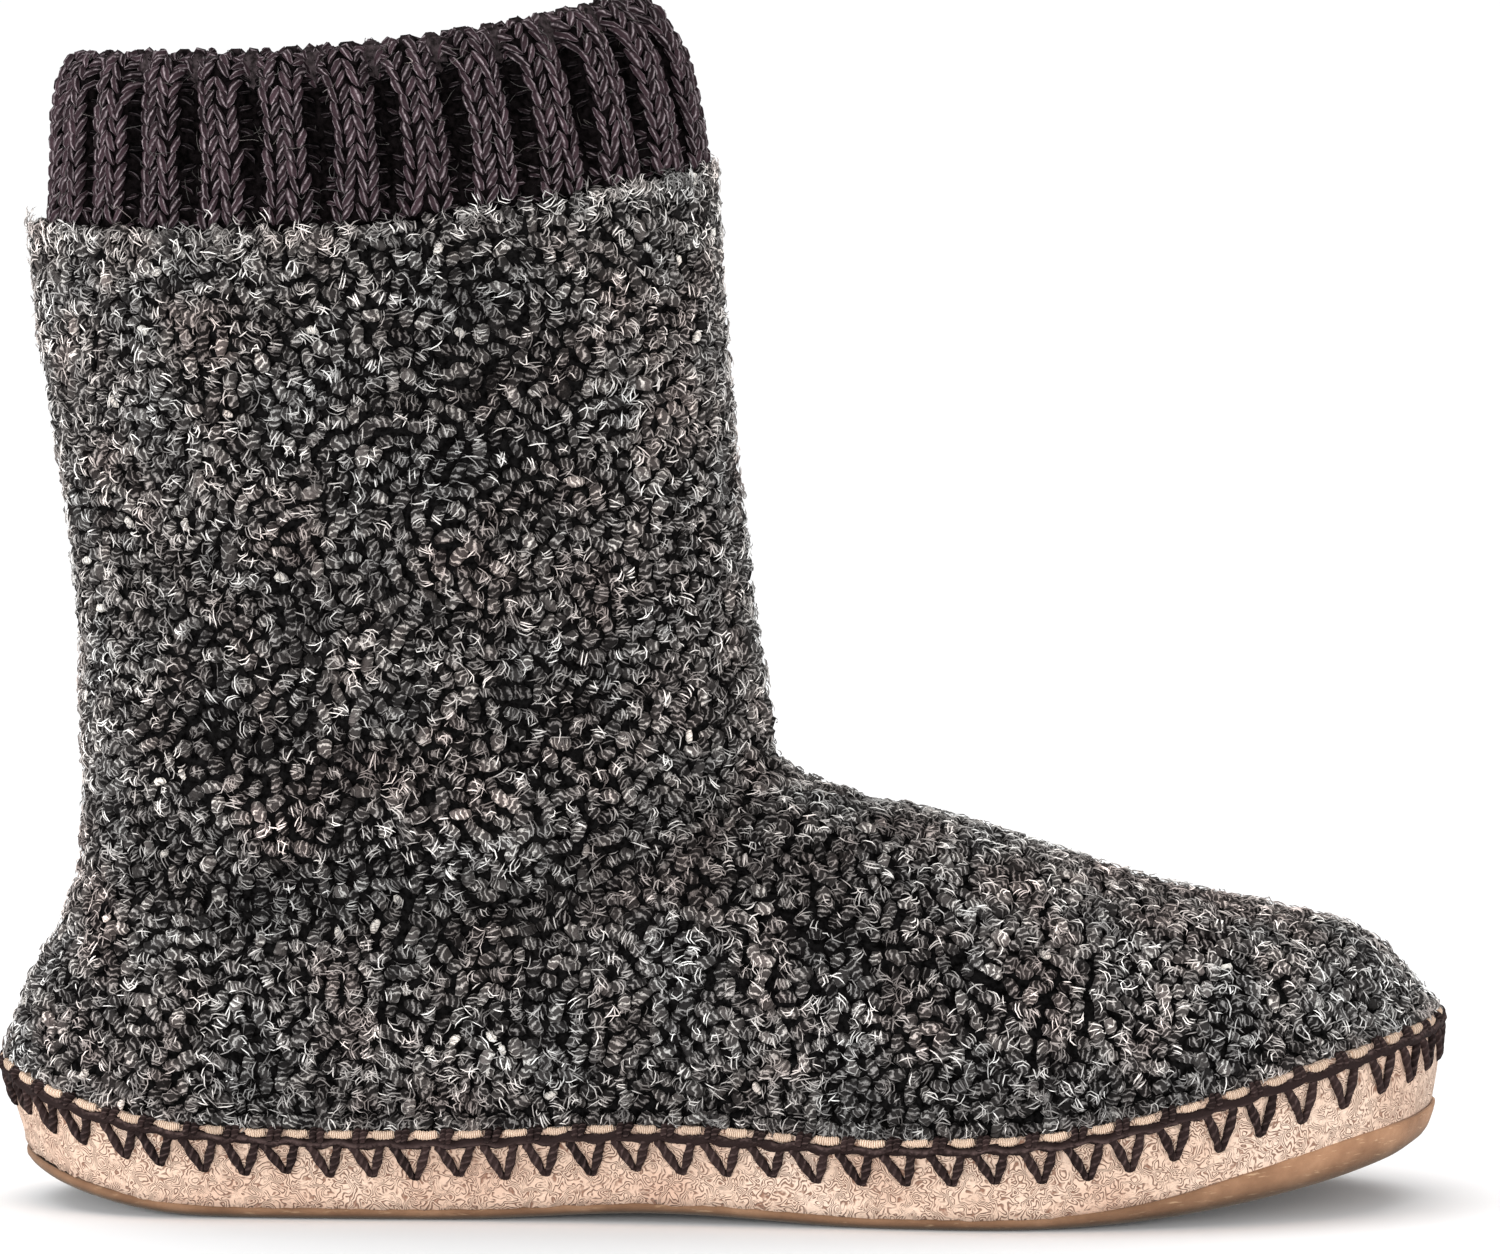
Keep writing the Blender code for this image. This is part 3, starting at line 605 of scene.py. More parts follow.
cellArea = np.linalg.norm(np.cross(stepAround, np.diff(upperFace, axis=0)), axis=-1)
print(f"upper mapped, {cellArea.sum() * 1e6:.0f} mm2 of knit")


def paintedLightAndShade(points, depth):
    # painted light and shade by place: lighter at the heel edge, the front of the shaft, the vamp and low at the heel,
    # darker low down and in the folds, lighter on the ridges
    x, z = points[..., 0] / mm, points[..., 2] / mm
    shade = 1.0 + 0.38 * ramp(-x, 95, 128) * ramp(z, 60, 110) + 0.30 * ramp(x, -40, 0) * ramp(z, 85, 105)
    shade += 0.30 * ramp(x, 0, 60) * ramp(z, 24, 44) + 0.35 * ramp(-x, 85, 125) * (1 - ramp(z, 50, 80))
    shade = shade * (1 - 0.22 * ramp(-(z - 15), -24, 0))
    return np.clip(shade * (1 - 0.16 * np.clip(depth / mm, -1, 2)), 0.3, 2)


def buildUpperWall():
    # rows of the wall: tucked inside the rand, up the outside, over the rim and down the inside
    columns = upper["columns"]
    plan = planLoop(columns)
    normal = inward(plan)
    tucked = np.stack([randSurface(plan, normal, np.full(columns, share), rand["wall"] + sole["clearance"])
                       for share in (0.03, 0.30, 0.65, 0.97)])
    u = np.arange(columns)[None, :] / columns * upperMap["columns"]
    v = (np.linspace(0, 1, upper["outsideRows"]) ** 0.98 * (upperMap["rows"] - 1.001))[:, None]
    u, v = np.broadcast_arrays(u, v)
    outside, faceNormals = readGrid(upperFace, u, v), readGrid(upperNormals, u, v)
    thin = upper["wall"] - upper["ground"]
    insideRows = np.linspace(upper["outsideRows"] - 1, 0, upper["insideRows"]).astype(int)
    inside = outside[insideRows] - faceNormals[insideRows] * thin
    inside[..., 2] = np.minimum(inside[..., 2], outside[-1, :, 2].max())
    tuckedIn = tucked[::-1].copy()
    tuckedIn[..., :2] += normal * upper["wall"]
    rows = np.concatenate([tucked, outside, inside, tuckedIn])
    shade = np.repeat((1.0, upper["insideShade"]), (len(tucked) + len(outside), len(inside) + len(tuckedIn)))
    # ground colours painted nearly black as shade between the nubs; the inside rows are lifted out of it by their shade
    # value
    material = knitGroundMaterial("knit ground", (0.0012, 0.0011, 0.0011), (0.009, 0.0085, 0.0085))
    values = {"shade": shade[:, None] * np.ones(columns)}
    made = gridPiece("upperKnit", rows, material, values, closedRows=True)
    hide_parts("upper")


buildUpperWall()

nubs = {
    "gap": 3.5 * mm, "length": (3.4, 5.6), "radius": (1.15, 1.6), "bend": (0.5, 1.6),
    "lift": 0.25 * mm, "rounds": 16, "reach": 1.45, "edgeGap": 3.1 * mm, "edgeStep": 3.0 * mm,
    "slub": 0.6, "seed": 3, "sides": 5,
}


def scatter(count, gap, rounds, rng):
    # rows along the edges, then places by area, then rounds in which near places push each other along the surface
    chance = cellArea.ravel() / cellArea.sum()
    cell = rng.choice(chance.size, count, p=chance)
    v = cell // upperMap["columns"] + rng.random(count)
    u = cell % upperMap["columns"] + rng.random(count)
    underTop, overFoot = np.interp((shaftTop - nubs["edgeStep"], firstLevel + nubs["edgeStep"]), mapLevels, mapRows)
    for row, loose in ((1.0, 0), (overFoot, 2.5), (underTop, 0), (upperMap["rows"] - 3.0, 0)):
        loop = upperFace[int(row)]
        run = np.concatenate([[0], np.cumsum(np.linalg.norm(np.roll(loop, -1, axis=0) - loop, axis=1))])
        even = int(run[-1] / nubs["edgeGap"])
        edgeU = np.interp((np.arange(even) + rng.uniform(-0.2, 0.2, even)) / even * run[-1], run, np.arange(len(run)))
        u, v = np.concatenate([u, edgeU]), np.concatenate([v, row + loose * rng.uniform(-1, 1, even)])
    free = np.arange(len(u)) < count
    count = len(u)
    stepU = (np.roll(upperFace, -1, axis=1) - np.roll(upperFace, 1, axis=1)) / 2
    stepV = np.gradient(upperFace, axis=0)
    for _ in range(rounds):
        place = readGrid(upperFace, u, v).astype(np.float32)
        push = np.zeros_like(place)
        squares = (place ** 2).sum(axis=1)
        for start in range(0, count, 1000):
            part = slice(start, start + 1000)
            apart = np.sqrt(np.maximum(squares[part, None] + squares - 2 * place[part] @ place.T, 1e-12))
            weight = np.where(apart < gap, (gap - apart) / apart, 0).astype(np.float32)
            weight[np.arange(len(apart)), np.arange(start, start + len(apart))] = 0
            push[part] = place[part] * weight.sum(axis=1)[:, None] - weight @ place
        push *= 0.22 * free[:, None]
        alongU, alongV = readGrid(stepU, u, v), readGrid(stepV, u, v)
        u = u + (push * alongU).sum(axis=1) / (alongU ** 2).sum(axis=1)
        v = np.clip(v + (push * alongV).sum(axis=1) / (alongV ** 2).sum(axis=1), 1.0, upperMap["rows"] - 3.0)
    return u, v


def buildNubs():
    # each nub is an arched bead: middle line at angle b*t, along R sin(bt), up R (cos(bt) - 1), radius * (1 - t^2)^0.4
    rng = np.random.default_rng(nubs["seed"])
    count = int(cellArea.sum() / (nubs["gap"] ** 2 * 0.90))
    u, v = scatter(count, nubs["gap"] * nubs["reach"], nubs["rounds"], rng)
    count = len(u)
    place, normal = readGrid(upperFace, u, v), unit(readGrid(upperNormals, u, v))
    atTop, atFoot = v > upperMap["rows"] - 3.5, v < 1.5
    place[:, 2] += rng.uniform(-0.4, 1.0, count) * mm * atTop - rng.uniform(0.2, 0.9, count) * mm * atFoot
    place[:, 2] -= atFoot * 0.8 * rand["toeDip"] * ramp(station(place[:, 0]), *rand["toeDipAt"])
    place += normal * (atFoot * 0.7 * mm)[:, None]
    depth = readGrid(upperFolds[..., None], u, v)[:, 0]
    aside = unit(np.cross(normal, rng.normal(size=(count, 3))))
    heading = np.cross(aside, normal)
    tint = np.clip(0.9 * rng.beta(1.5, 2.2, count) + 0.5 * (rng.random(count) > 0.965), 0, 1)
    slub = np.where(tint > 0.93, nubs["slub"], 1)  # the white slubs are small
    length = rng.uniform(*nubs["length"], count) * mm * slub
    radius = rng.uniform(*nubs["radius"], count) * mm * slub
    bend = rng.uniform(*nubs["bend"], count)
    t = np.array([-1, -0.86, -0.36, 0.36, 0.86, 1])
    reach = (length / (2 * bend))[:, None]
    along = reach * np.sin(bend[:, None] * t)
    climb = reach * (np.cos(bend[:, None] * t) - 1) + (nubs["lift"] + rng.uniform(-0.25, 0.3, count) * mm)[:, None]
    curl = (rng.normal(0, 0.35, count) * mm)[:, None] * (t ** 2 - 0.4)
    tilt = rng.normal(0, 0.16, count)[:, None] * along
    paths = place[:, None] + along[..., None] * heading[:, None] + (climb + tilt)[..., None] * normal[:, None] \
        + curl[..., None] * aside[:, None]
    radii = radius[:, None] * (1 - 0.96 * t ** 2) ** 0.4 * rng.uniform(0.86, 1.14, (count, len(t)))
    # each nub's painted light and shade by place
    shade = paintedLightAndShade(place, depth)
    material = nubMaterial()
    low = place[:, 2] < np.median(place[:, 2])
    for name, chosen in (("nubsFoot", low), ("nubsShaft", ~low)):
        tubePiece(name, paths[chosen], radii[chosen], nubs["sides"], normal[chosen][:, None], material, upper["slot"],
                  {"tint": tint[chosen], "shade": shade[chosen]})
    # shade is each nub's painted light and shade, which its threads share
    return {"place": place, "normal": normal, "aside": aside, "heading": heading, "shade": shade,
            "top": nubs["lift"] + radius, "radius": radius, "edge": np.nonzero(atTop)[0]}


nubPlaces = buildNubs()

threads = {
    "wraps": 5400, "bundle": 3, "wrapRadius": (0.10, 0.17), "seed": 5,
    "bundles": (  # name, count, threads in a bundle, rings, then in mm: radius, length; turn; in mm: stand-out, rise
        ("curls", 10600, 2, 5, (0.10, 0.17), (2.0, 4.6), (0.2, 2.6), (0.0, 0.35), 0),
        ("hairs", 7400, 1, 4, (0.09, 0.16), (1.6, 3.8), (0.1, 1.6), (0.0, 0.5), 0),
        ("collarHairs", 420, 2, 4, (0.09, 0.16), (2.0, 4.6), (0.2, 2.4), (0.1, 0.8), 2.6),
    ),
    "burst": 0.45, "kinked": 0.35,  # shares of bundles that open like a star, and of threads with a kink
    "stops": (
        (0.0, (0.10, 0.093, 0.089)), (0.30, (0.245, 0.23, 0.222)),
        (0.68, (0.54, 0.52, 0.50)), (1.0, (0.95, 0.92, 0.885)),
    ),
}


def nubPoints(owner, x, y, lift):
    # points in each nub's own frame: x along its heading, y aside, lift along the surface normal
    start, heading, aside, normal = (nubPlaces[key][owner][:, None] for key in ("place", "heading", "aside", "normal"))
    return start + x[..., None] * heading + y[..., None] * aside + lift[..., None] * normal


def buildWraps(rng, material):
    # wraps go across the bead in bundles: aside r sin(a), up r cos(a), the bundle's threads side by side
    count, size = threads["wraps"], threads["bundle"]
    bundle = np.arange(count) // size
    bundles = count // size + 1
    owner = rng.integers(0, len(nubPlaces["place"]), bundles)[bundle]
    gap = rng.uniform(0.48, 0.85, bundles)[bundle] * mm
    middle = rng.normal(0, 0.5, bundles)[bundle] * mm
    t = np.linspace(-1, 1, 5)
    angle = t * rng.uniform(0.7, 1.35, count)[:, None] + rng.normal(0, 0.25, count)[:, None]
    radius = nubPlaces["radius"][owner]
    reach = (radius + 0.05 * mm)[:, None]
    along = middle + (np.arange(count) % size - 1) * gap + rng.normal(0, 0.22, count) * mm
    sag = radius * 0.5 * (along / (1.9 * mm)) ** 2
    skew = rng.normal(0, 0.5, count)[:, None] * mm * t
    lift = nubs["lift"] - sag[:, None] + reach * np.cos(angle)
    paths = nubPoints(owner, along[:, None] + skew, reach * np.sin(angle), lift)
    radii = (rng.uniform(*threads["wrapRadius"], count) * mm)[:, None] * (1 - 0.3 * t ** 2)
    tint = np.clip(rng.beta(1.1, 1.6, bundles)[bundle] + rng.normal(0, 0.2, count), 0, 1)
    tubePiece("wraps", paths, radii, 3, nubPlaces["heading"][owner][:, None], material, upper["slot"],
              {"tint": tint, "shade": nubPlaces["shade"][owner]})


def buildBundles(rng, material, name, count, size, rings, radiusRange, lengthRange, turnRange, proud, rise):
    # bundles of arcs side by side over a nub's dome: height = top * sqrt(1 - (distance / reach)^2)
    bundle = np.arange(count) // size
    bundles = bundle[-1] + 1
    spot = np.arange(count) % size - (size - 1) / 2
    owners = nubPlaces["edge"] if rise else np.arange(len(nubPlaces["place"]))
    owner = rng.choice(owners, bundles)[bundle]
    fan = np.where(rng.random(bundles) < threads["burst"], 0.75, 0.14)[bundle]
    heading = rng.uniform(0, 2 * math.pi, bundles)[bundle] + rng.normal(0, 1, count) * fan
    length = rng.uniform(*lengthRange, count) * mm
    turn = (rng.uniform(*turnRange, bundles) * rng.choice((-1, 1), bundles))[bundle] + rng.normal(0, 0.15, count)
    gap = rng.uniform(0.5, 0.9, bundles)[bundle] * spot * mm
    t = np.sin(np.linspace(-1, 1, rings) * math.pi / 2)
    kink = rng.normal(0, 1.1, count) * (rng.random(count) < threads["kinked"])
    angle = heading[:, None] + turn[:, None] * t * 0.5 + kink[:, None] * (t > 0.1)
    step = length[:, None] / 2 * np.gradient(t)
    x = np.cumsum(np.cos(angle) * step, axis=1)
    y = np.cumsum(np.sin(angle) * step, axis=1)
    x += (rng.normal(0, 0.8, bundles)[bundle] * mm - gap * np.sin(heading))[:, None] - x.mean(axis=1, keepdims=True)
    y += (rng.normal(0, 0.8, bundles)[bundle] * mm + gap * np.cos(heading))[:, None] - y.mean(axis=1, keepdims=True)
    dome = np.sqrt(np.clip(1 - (np.hypot(x, y) / (2.6 * mm)) ** 2, 0, 1))
    lift = nubPlaces["top"][owner][:, None] * (0.35 + 0.65 * dome)
    lift += (rng.uniform(*proud, count) * mm)[:, None] * (1 - 0.6 * t ** 2)
    lift += (rng.normal(0, 0.2, count) * mm)[:, None] * t
    radii = (rng.uniform(*radiusRange, count) * mm)[:, None] * (1 - 0.35 * t ** 2)
    paths = nubPoints(owner, x, y, lift)
    paths[..., 2] += (rng.uniform(0, 1, bundles)[bundle] * rise * mm)[:, None]
    tint = np.clip(rng.beta(1.1, 1.4, bundles)[bundle] + rng.normal(0, 0.2, count), 0, 1)
    tubePiece(name, paths, radii, 3, nubPlaces["normal"][owner][:, None], material, upper["slot"],
              {"tint": tint, "shade": nubPlaces["shade"][owner]})


def buildThreads():
    rng = np.random.default_rng(threads["seed"])
    material = fibreMaterial("light threads", *threads["stops"])
    buildWraps(rng, material)
    for bundleRow in threads["bundles"]:
        buildBundles(rng, material, *bundleRow)


buildThreads()

# ribbed cuff

ribKnit = {
    "rowStep": 2.72 * mm, "legRadius": 0.86 * mm, "legRise": 3.75 * mm, "waleOffset": 0.172, "legSpread": 0.135,
    "under": 0.9 * mm, "grooveExtra": 1.7 * mm, "bumpRadius": 0.72 * mm, "hairs": 720, "hairRadius": 0.07 * mm,
    "seed": 17, "columnsPerRib": 12,
    "fuzz": ((0.0, (0.03, 0.028, 0.026)), (0.7, (0.10, 0.095, 0.09)), (1.0, (0.30, 0.28, 0.27))),
}


def loopAt(level, phases):
    # the upper's loop at one level, read at even arc length round it
    fine = upperSurface(960, np.array([level]))[0]
    run = np.linalg.norm(np.roll(fine, -1, axis=0) - fine, axis=1)
    share = np.concatenate([[0], np.cumsum(run)]) / run.sum()
    closed = np.vstack([fine, fine[:1]])
    return np.stack([np.interp(phases % 1, share, closed[:, k]) for k in range(3)], axis=1)


def ribHeight(phases):
    # the rib's profile, repeated: groove 0, crown 1
    profile = np.array(cuff["ribProfile"] + ((1.0, 0.0),))
    return np.interp((phases * cuff["ribs"] - cuff["firstRib"]) % 1, profile[:, 0], profile[:, 1])


def cuffSurface(phases, q, under):
    # the shaft's top loop, raised and set in by the section table at place q, less the groove, and leant back
    base = loopAt(shaftTop, phases)
    normal = inward(base)
    table = np.array(cuff["sections"])
    rise, insetShare, ribs = (hermite(q, np.arange(len(table)), table[:, k])[:, None] for k in range(3))
    groove = (cuff["ribDepth"] + (ribKnit["grooveExtra"] if under else 0)) * np.clip(ribs, 0, 1) * (1 - ribHeight(phases))
    depth = cuff["setBack"] + insetShare * cuff["thickness"] + groove
    toFront = np.clip((base[:, 0] - shaftBack) / upper["shaftDepth"], 0, 1)
    x = base[:, 0] + normal[:, 0] * depth + cuff["forward"] - cuff["lean"] * toFront * rise ** 2
    y = base[:, 1] + normal[:, 1] * depth
    z = base[:, 2] + cuff["seam"] + rise * cuff["height"] - ramp(rise, cuff["foldStart"], 1) * cuff["grooveDrop"] * groove
    grid = np.stack([x, y, z], axis=-1)
    return grid - gridNormals(grid) * under


def evenRows(phases, count):
    # places q along the section table at even steps of length, found on one column
    q = np.linspace(0, 8, 400)
    line = cuffSurface(np.array(phases), q, 0)[:, 1]
    run = np.concatenate([[0], np.cumsum(np.linalg.norm(np.diff(line, axis=0), axis=1))])
    return np.interp(np.linspace(0, run[-1], count), run, q), run[-1]


cuffColumns = cuff["ribs"] * ribKnit["columnsPerRib"]
cuffRows, cuffRun = evenRows((0.24, 0.25, 0.26), 48)
cuffMapPhases = np.arange(cuff["ribs"] * 40) / (cuff["ribs"] * 40)
cuffFace = cuffSurface(cuffMapPhases, cuffRows, ribKnit["under"])
cuffNormals = gridNormals(cuffFace)


def cuffPlace(phase, run):
    return phase * len(cuffMapPhases), run / cuffRun * (len(cuffRows) - 1)


def onCuff(phase, run, lift):
    # a point at a phase round the cuff and a length up its line, lifted along the normal
    place = cuffPlace(phase, run)
    return readGrid(cuffFace, *place) + unit(readGrid(cuffNormals, *place)) * lift[..., None]


def outOfCuff(phase, run):
    # the normal at the third ring of each tube
    return unit(readGrid(cuffNormals, *cuffPlace(phase[:, 2], run[:, 2])))[:, None]


def buildCuff():
    # the fine ribbed shell, with its tail down inside the upper
    phases = np.arange(cuffColumns) / cuffColumns
    sides = cuffSurface(phases, cuffRows, ribKnit["under"])
    shoulder, tail = loopAt(shaftTop, phases), loopAt(shaftTop - cuff["tail"], phases)
    shoulder[:, 2] += cuff["seam"]
    inner, outer = tail.copy(), tail.copy()
    inner[:, :2] += inward(tail) * (cuff["setBack"] + cuff["thickness"])
    outer[:, :2] += inward(tail) * (upper["wall"] + cuff["seam"])
    shoulder[:, :2] += inward(shoulder) * (upper["wall"] + cuff["seam"])
    rows = np.concatenate([shoulder[None], sides, inner[None], outer[None]])
    inside = cuff["insideShade"]
    shade = np.concatenate([[1.0], 1 + (inside - 1) * ramp(cuffRows, 5.6, 7), [inside, 1.0]])
    # ground colours painted nearly black as shade in the grooves; the inside rows are lifted out of it by their shade
    # value
    material = knitGroundMaterial("rib ground", (0.0012, 0.001, 0.001), (0.008, 0.0062, 0.0066))
    values = {"shade": shade[:, None] * np.ones(cuffColumns)}
    made = gridPiece("cuffKnit", rows, material, values, closedRows=True)
    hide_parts("cuff")


def ribPlaces(rows, *sides):
    # every mix of rib, row and the given sides, as flat arrays
    return (a.ravel() for a in np.meshgrid(np.arange(cuff["ribs"]), np.arange(rows), *sides, indexing="ij"))


def buildRibStitches():
    # every stitch is a V: two beads from the outer top to the middle foot, two columns of stitches a rib
    rng = np.random.default_rng(ribKnit["seed"])
    ribs, height = cuff["ribs"], cuff["height"]
    rows = int(cuffRun / ribKnit["rowStep"])
    rib, row, wale, leg = ribPlaces(rows, (-1, 1), (-1, 1))
    count = len(rib)
    foot = (row + 0.1 + 0.12 * (rib % 3)) * ribKnit["rowStep"] + rng.normal(0, 0.22, count) * mm
    t = np.array([0, 0.07, 0.33, 0.67, 0.93, 1])
    spread = 1 + 0.42 * ramp(foot, 0.55 * height, height) + 0.15 * ramp(-foot, -0.25 * height, 0)
    middle = (rib + cuff["firstRib"] + 0.5 + wale * ribKnit["waleOffset"] * spread) / ribs
    phase = middle[:, None] + leg[:, None] * (0.012 + ribKnit["legSpread"] * t ** 0.85 * spread[:, None]) / ribs
    sway = rng.normal(0, 0.25, (ribs, 2))  # each rib wanders a little on its way up
    wander = sway[rib, 0] * np.sin(foot / (6.5 * mm) + 9 * sway[rib, 1]) * 0.09
    phase = phase + ((rng.normal(0, 0.016, count) + wander) / ribs)[:, None]
    phase = phase + rng.normal(0, 0.016, (count, 1)) * t / ribs
    run = foot[:, None] + ribKnit["legRise"] * t
    lift = (0.15 + 0.45 * np.sin(math.pi * t)) * mm + (rng.normal(0, 0.12, count) * mm)[:, None]
    radii = ribKnit["legRadius"] * (1 - 0.94 * (2 * t - 1) ** 2) ** 0.6 * rng.uniform(0.80, 1.14, (count, 1))
    material = stitchMaterial("rib yarn", (0.008, 0.0045, 0.0055), (0.046, 0.027, 0.033), (0.30, 0.25, 0.265),
                              4, 1.0, 1.0)
    tubePiece("ribStitches", onCuff(phase, run, lift), radii, 6, outOfCuff(phase, run), material, cuff["slot"],
              {"tint": rng.beta(2, 2, count), "shade": rng.uniform(0.72, 1.06, count)})

    # short bumps on both flanks of each groove, darkened by painted shade in the groove, less so at the cuff's foot
    groove, row, side = ribPlaces(rows, (-1, 1))
    count = len(groove)
    phase = (groove[:, None] + cuff["firstRib"] + side[:, None] * (0.05 + 0.11 * (t - 0.1))) / ribs + 0 * t
    run = ((row + 0.5) * ribKnit["rowStep"] + rng.normal(0, 0.3, count) * mm)[:, None]
    run = run + rng.normal(0, 0.9, (count, 1)) * mm * t
    paths = onCuff(phase, run, (0.1 + 0.5 * np.sin(math.pi * t)) * mm + 0 * run)
    radii = ribKnit["bumpRadius"] * (1 - 0.9 * (2 * t - 1) ** 2) ** 0.35 * rng.uniform(0.7, 1.15, (count, 1))
    tint = rng.beta(1.5, 3, count)
    # painted shade in the grooves, lifted towards the cuff's foot where the grooves are shallow
    shade = rng.uniform(0.12, 0.30, count) + 0.6 * (1 - ramp(run[:, 0], 0.05 * height, 0.45 * height))
    tubePiece("grooveBumps", paths, radii, 3, outOfCuff(phase, run), material, cuff["slot"],
              {"tint": tint, "shade": shade})

    # loose fuzz, thicker towards the cuff's foot
    count = ribKnit["hairs"]
    where = rng.random(count)[:, None]
    run = (rng.random(count) ** 1.2 * cuffRun * 0.75)[:, None]
    t = np.linspace(-1, 1, 6)
    curl = rng.normal(0, 1, (count, 4))
    phase = where + (curl[:, :1] * t * 1.3 + curl[:, 1:2] * (t ** 2 - 0.4) * 0.8) * mm / (ribs * 13 * mm)
    run = run + (curl[:, 2:3] * t * 1.2 + curl[:, 3:4] * (t ** 2 - 0.4) * 0.8) * mm
    paths = onCuff(phase, run, rng.uniform(0.6, 1.5, count)[:, None] * mm * (1 - 0.5 * t ** 2))
    tubePiece("cuffHairs", paths, np.full((count, 6), ribKnit["hairRadius"]), 3, outOfCuff(phase, run),
              fibreMaterial("cuff fuzz", *ribKnit["fuzz"]), cuff["slot"],
              {"tint": rng.beta(1.2, 2.2, count), "shade": np.ones(count)})


buildCuff()
buildRibStitches()

# suede rand, its stitched edge and the whipstitch

randBead = ((0.0, 0.86, 0.90, 0.97, 1.0), (0.0, 0.0, -0.25, -0.25, 0.5))


def toeRoll(x, share):
    # how far the rand's outer face leans in at its top round the toe: roll * ramp * share^4
    return rand["toeRoll"] * ramp(station(x), *rand["toeRollAt"]) * np.clip(share, 0, 1) ** 4


def toeDip(x, share):
    # how far the stitched edge drops at the tip of the toe: dip * ramp * share^3
    return rand["toeDip"] * ramp(station(x), *rand["toeDipAt"]) * np.clip(share, 0, 1) ** 3


def looped(rng, count, width):
    # unevenness round a closed loop: random values smoothed over a few neighbours
    return np.convolve(np.tile(rng.normal(0, 1, count), 3), np.ones(width) / width, "same")[count: 2 * count]


def buildRand():
    # rows up the outer face, over the bead and down the inside, with a frayed foot
    rng = np.random.default_rng(rand["seed"])
    plan = planLoop(rand["columns"])
    normal = inward(plan)
    shares = np.concatenate([np.linspace(0, 0.86, 12),
                             (0.885, 0.905, 0.935, 0.965, 0.985, 1.0, 0.985, 0.95, 0.7, 0.35, 0.0)])
    depths = (*np.zeros(12), -0.15, -0.26, -0.30, -0.24, -0.05, 0.45, 0.85, 1.0, 1.0, 1.0, 1.0)
    depths = np.array(depths) * rand["wall"]
    outer = np.arange(len(shares)) < 18
    rows = np.stack([randSurface(plan, normal, np.full(len(plan), share), depth + toeRoll(plan[:, 0], share) * face)
                     for share, depth, face in zip(shares, depths, outer)])
    rows[..., 2] -= toeDip(rows[..., 0], shares[:, None])
    fray = np.abs(looped(rng, len(plan), 5))
    flare = (1 - ramp(station(plan[:, 0]), *rand["plainAt"]))[:, None]  # the foot lies flat behind the outsole's rim
    rows[0, :, 2] -= sole["clearance"] + 0.25 * mm + fray * rand["fray"]
    rows[0, :, :2] -= normal * (rand["flare"][0] + 0.15 * mm * fray[:, None]) * flare
    rows[1, :, :2] -= normal * rand["flare"][1] * flare
    values = {"shade": np.ones(rows.shape[:2])}
    made = gridPiece("randSuede", rows, suedeMaterial(), values, closedRows=True)
    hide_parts("rand")


buildRand()

whip = {
    # the stitches' apexes as (number, run round the rand in mm), tighter along the heel and wider round the toe
    "apexes": ((0, 6.9), (4, 41.6), (8, 72.3), (14, 120.5), (20, 170.7), (29, 245.6), (36, 309.8), (73, 634.15)),
    "apexDepth": 9.3 * mm, "toeLonger": 1.8 * mm, "toeLongerAt": (0.66, 0.82), "topDepth": 2.1 * mm,
    "legs": (("whipBack", -4.3 * mm), ("whipAhead", 1.9 * mm)), "yarn": 0.90 * mm, "taper": 0.35,
    "strandDepth": 2.2 * mm, "strand": 0.92 * mm, "strandRings": 1000,
    "wrapBehind": 2.1 * mm, "wrapApart": 1.24 * mm, "wrapYarn": 0.80 * mm,
    "dashAhead": 2.3 * mm, "dashLength": 4.5 * mm, "dashRadius": 0.86 * mm, "dashDepth": 0.62 * mm, "seed": 23,
}

wrapPlan = planLoop(4000)
wrapSteps = np.linalg.norm(np.roll(wrapPlan, -1, axis=0) - wrapPlan, axis=1)
wrapRun = np.concatenate([[0], np.cumsum(wrapSteps)])
wrapNormal = inward(wrapPlan)
randAround = wrapRun[-1]


def onRand(run, below, out):
    # a point on the rand's outer face: length run round it, below its top edge, standing out from the face
    place = (np.asarray(run) % randAround)
    closed = np.vstack([wrapPlan, wrapPlan[:1]])
    closedNormal = np.vstack([wrapNormal, wrapNormal[:1]])
    plan = np.stack([np.interp(place, wrapRun, closed[:, k]) for k in (0, 1)], axis=-1)
    normal = unit(np.stack([np.interp(place, wrapRun, closedNormal[:, k]) for k in (0, 1)], axis=-1))
    share = 1 - below / randHeight(plan[..., 0])
    bead = np.interp(np.clip(share, 0, 0.97), *randBead) * rand["wall"]
    out = out * (1 - 0.45 * ramp(station(plan[..., 0]), *rand["toeRollAt"]))
    point = randSurface(plan, normal, np.minimum(share, 1), bead - out + toeRoll(plan[..., 0], share))
    point[..., 2] += np.maximum(share - 1, 0) * randHeight(plan[..., 0]) - toeDip(plan[..., 0], share)
    return point, np.concatenate([-normal, np.zeros(normal.shape[:-1] + (1,))], axis=-1)


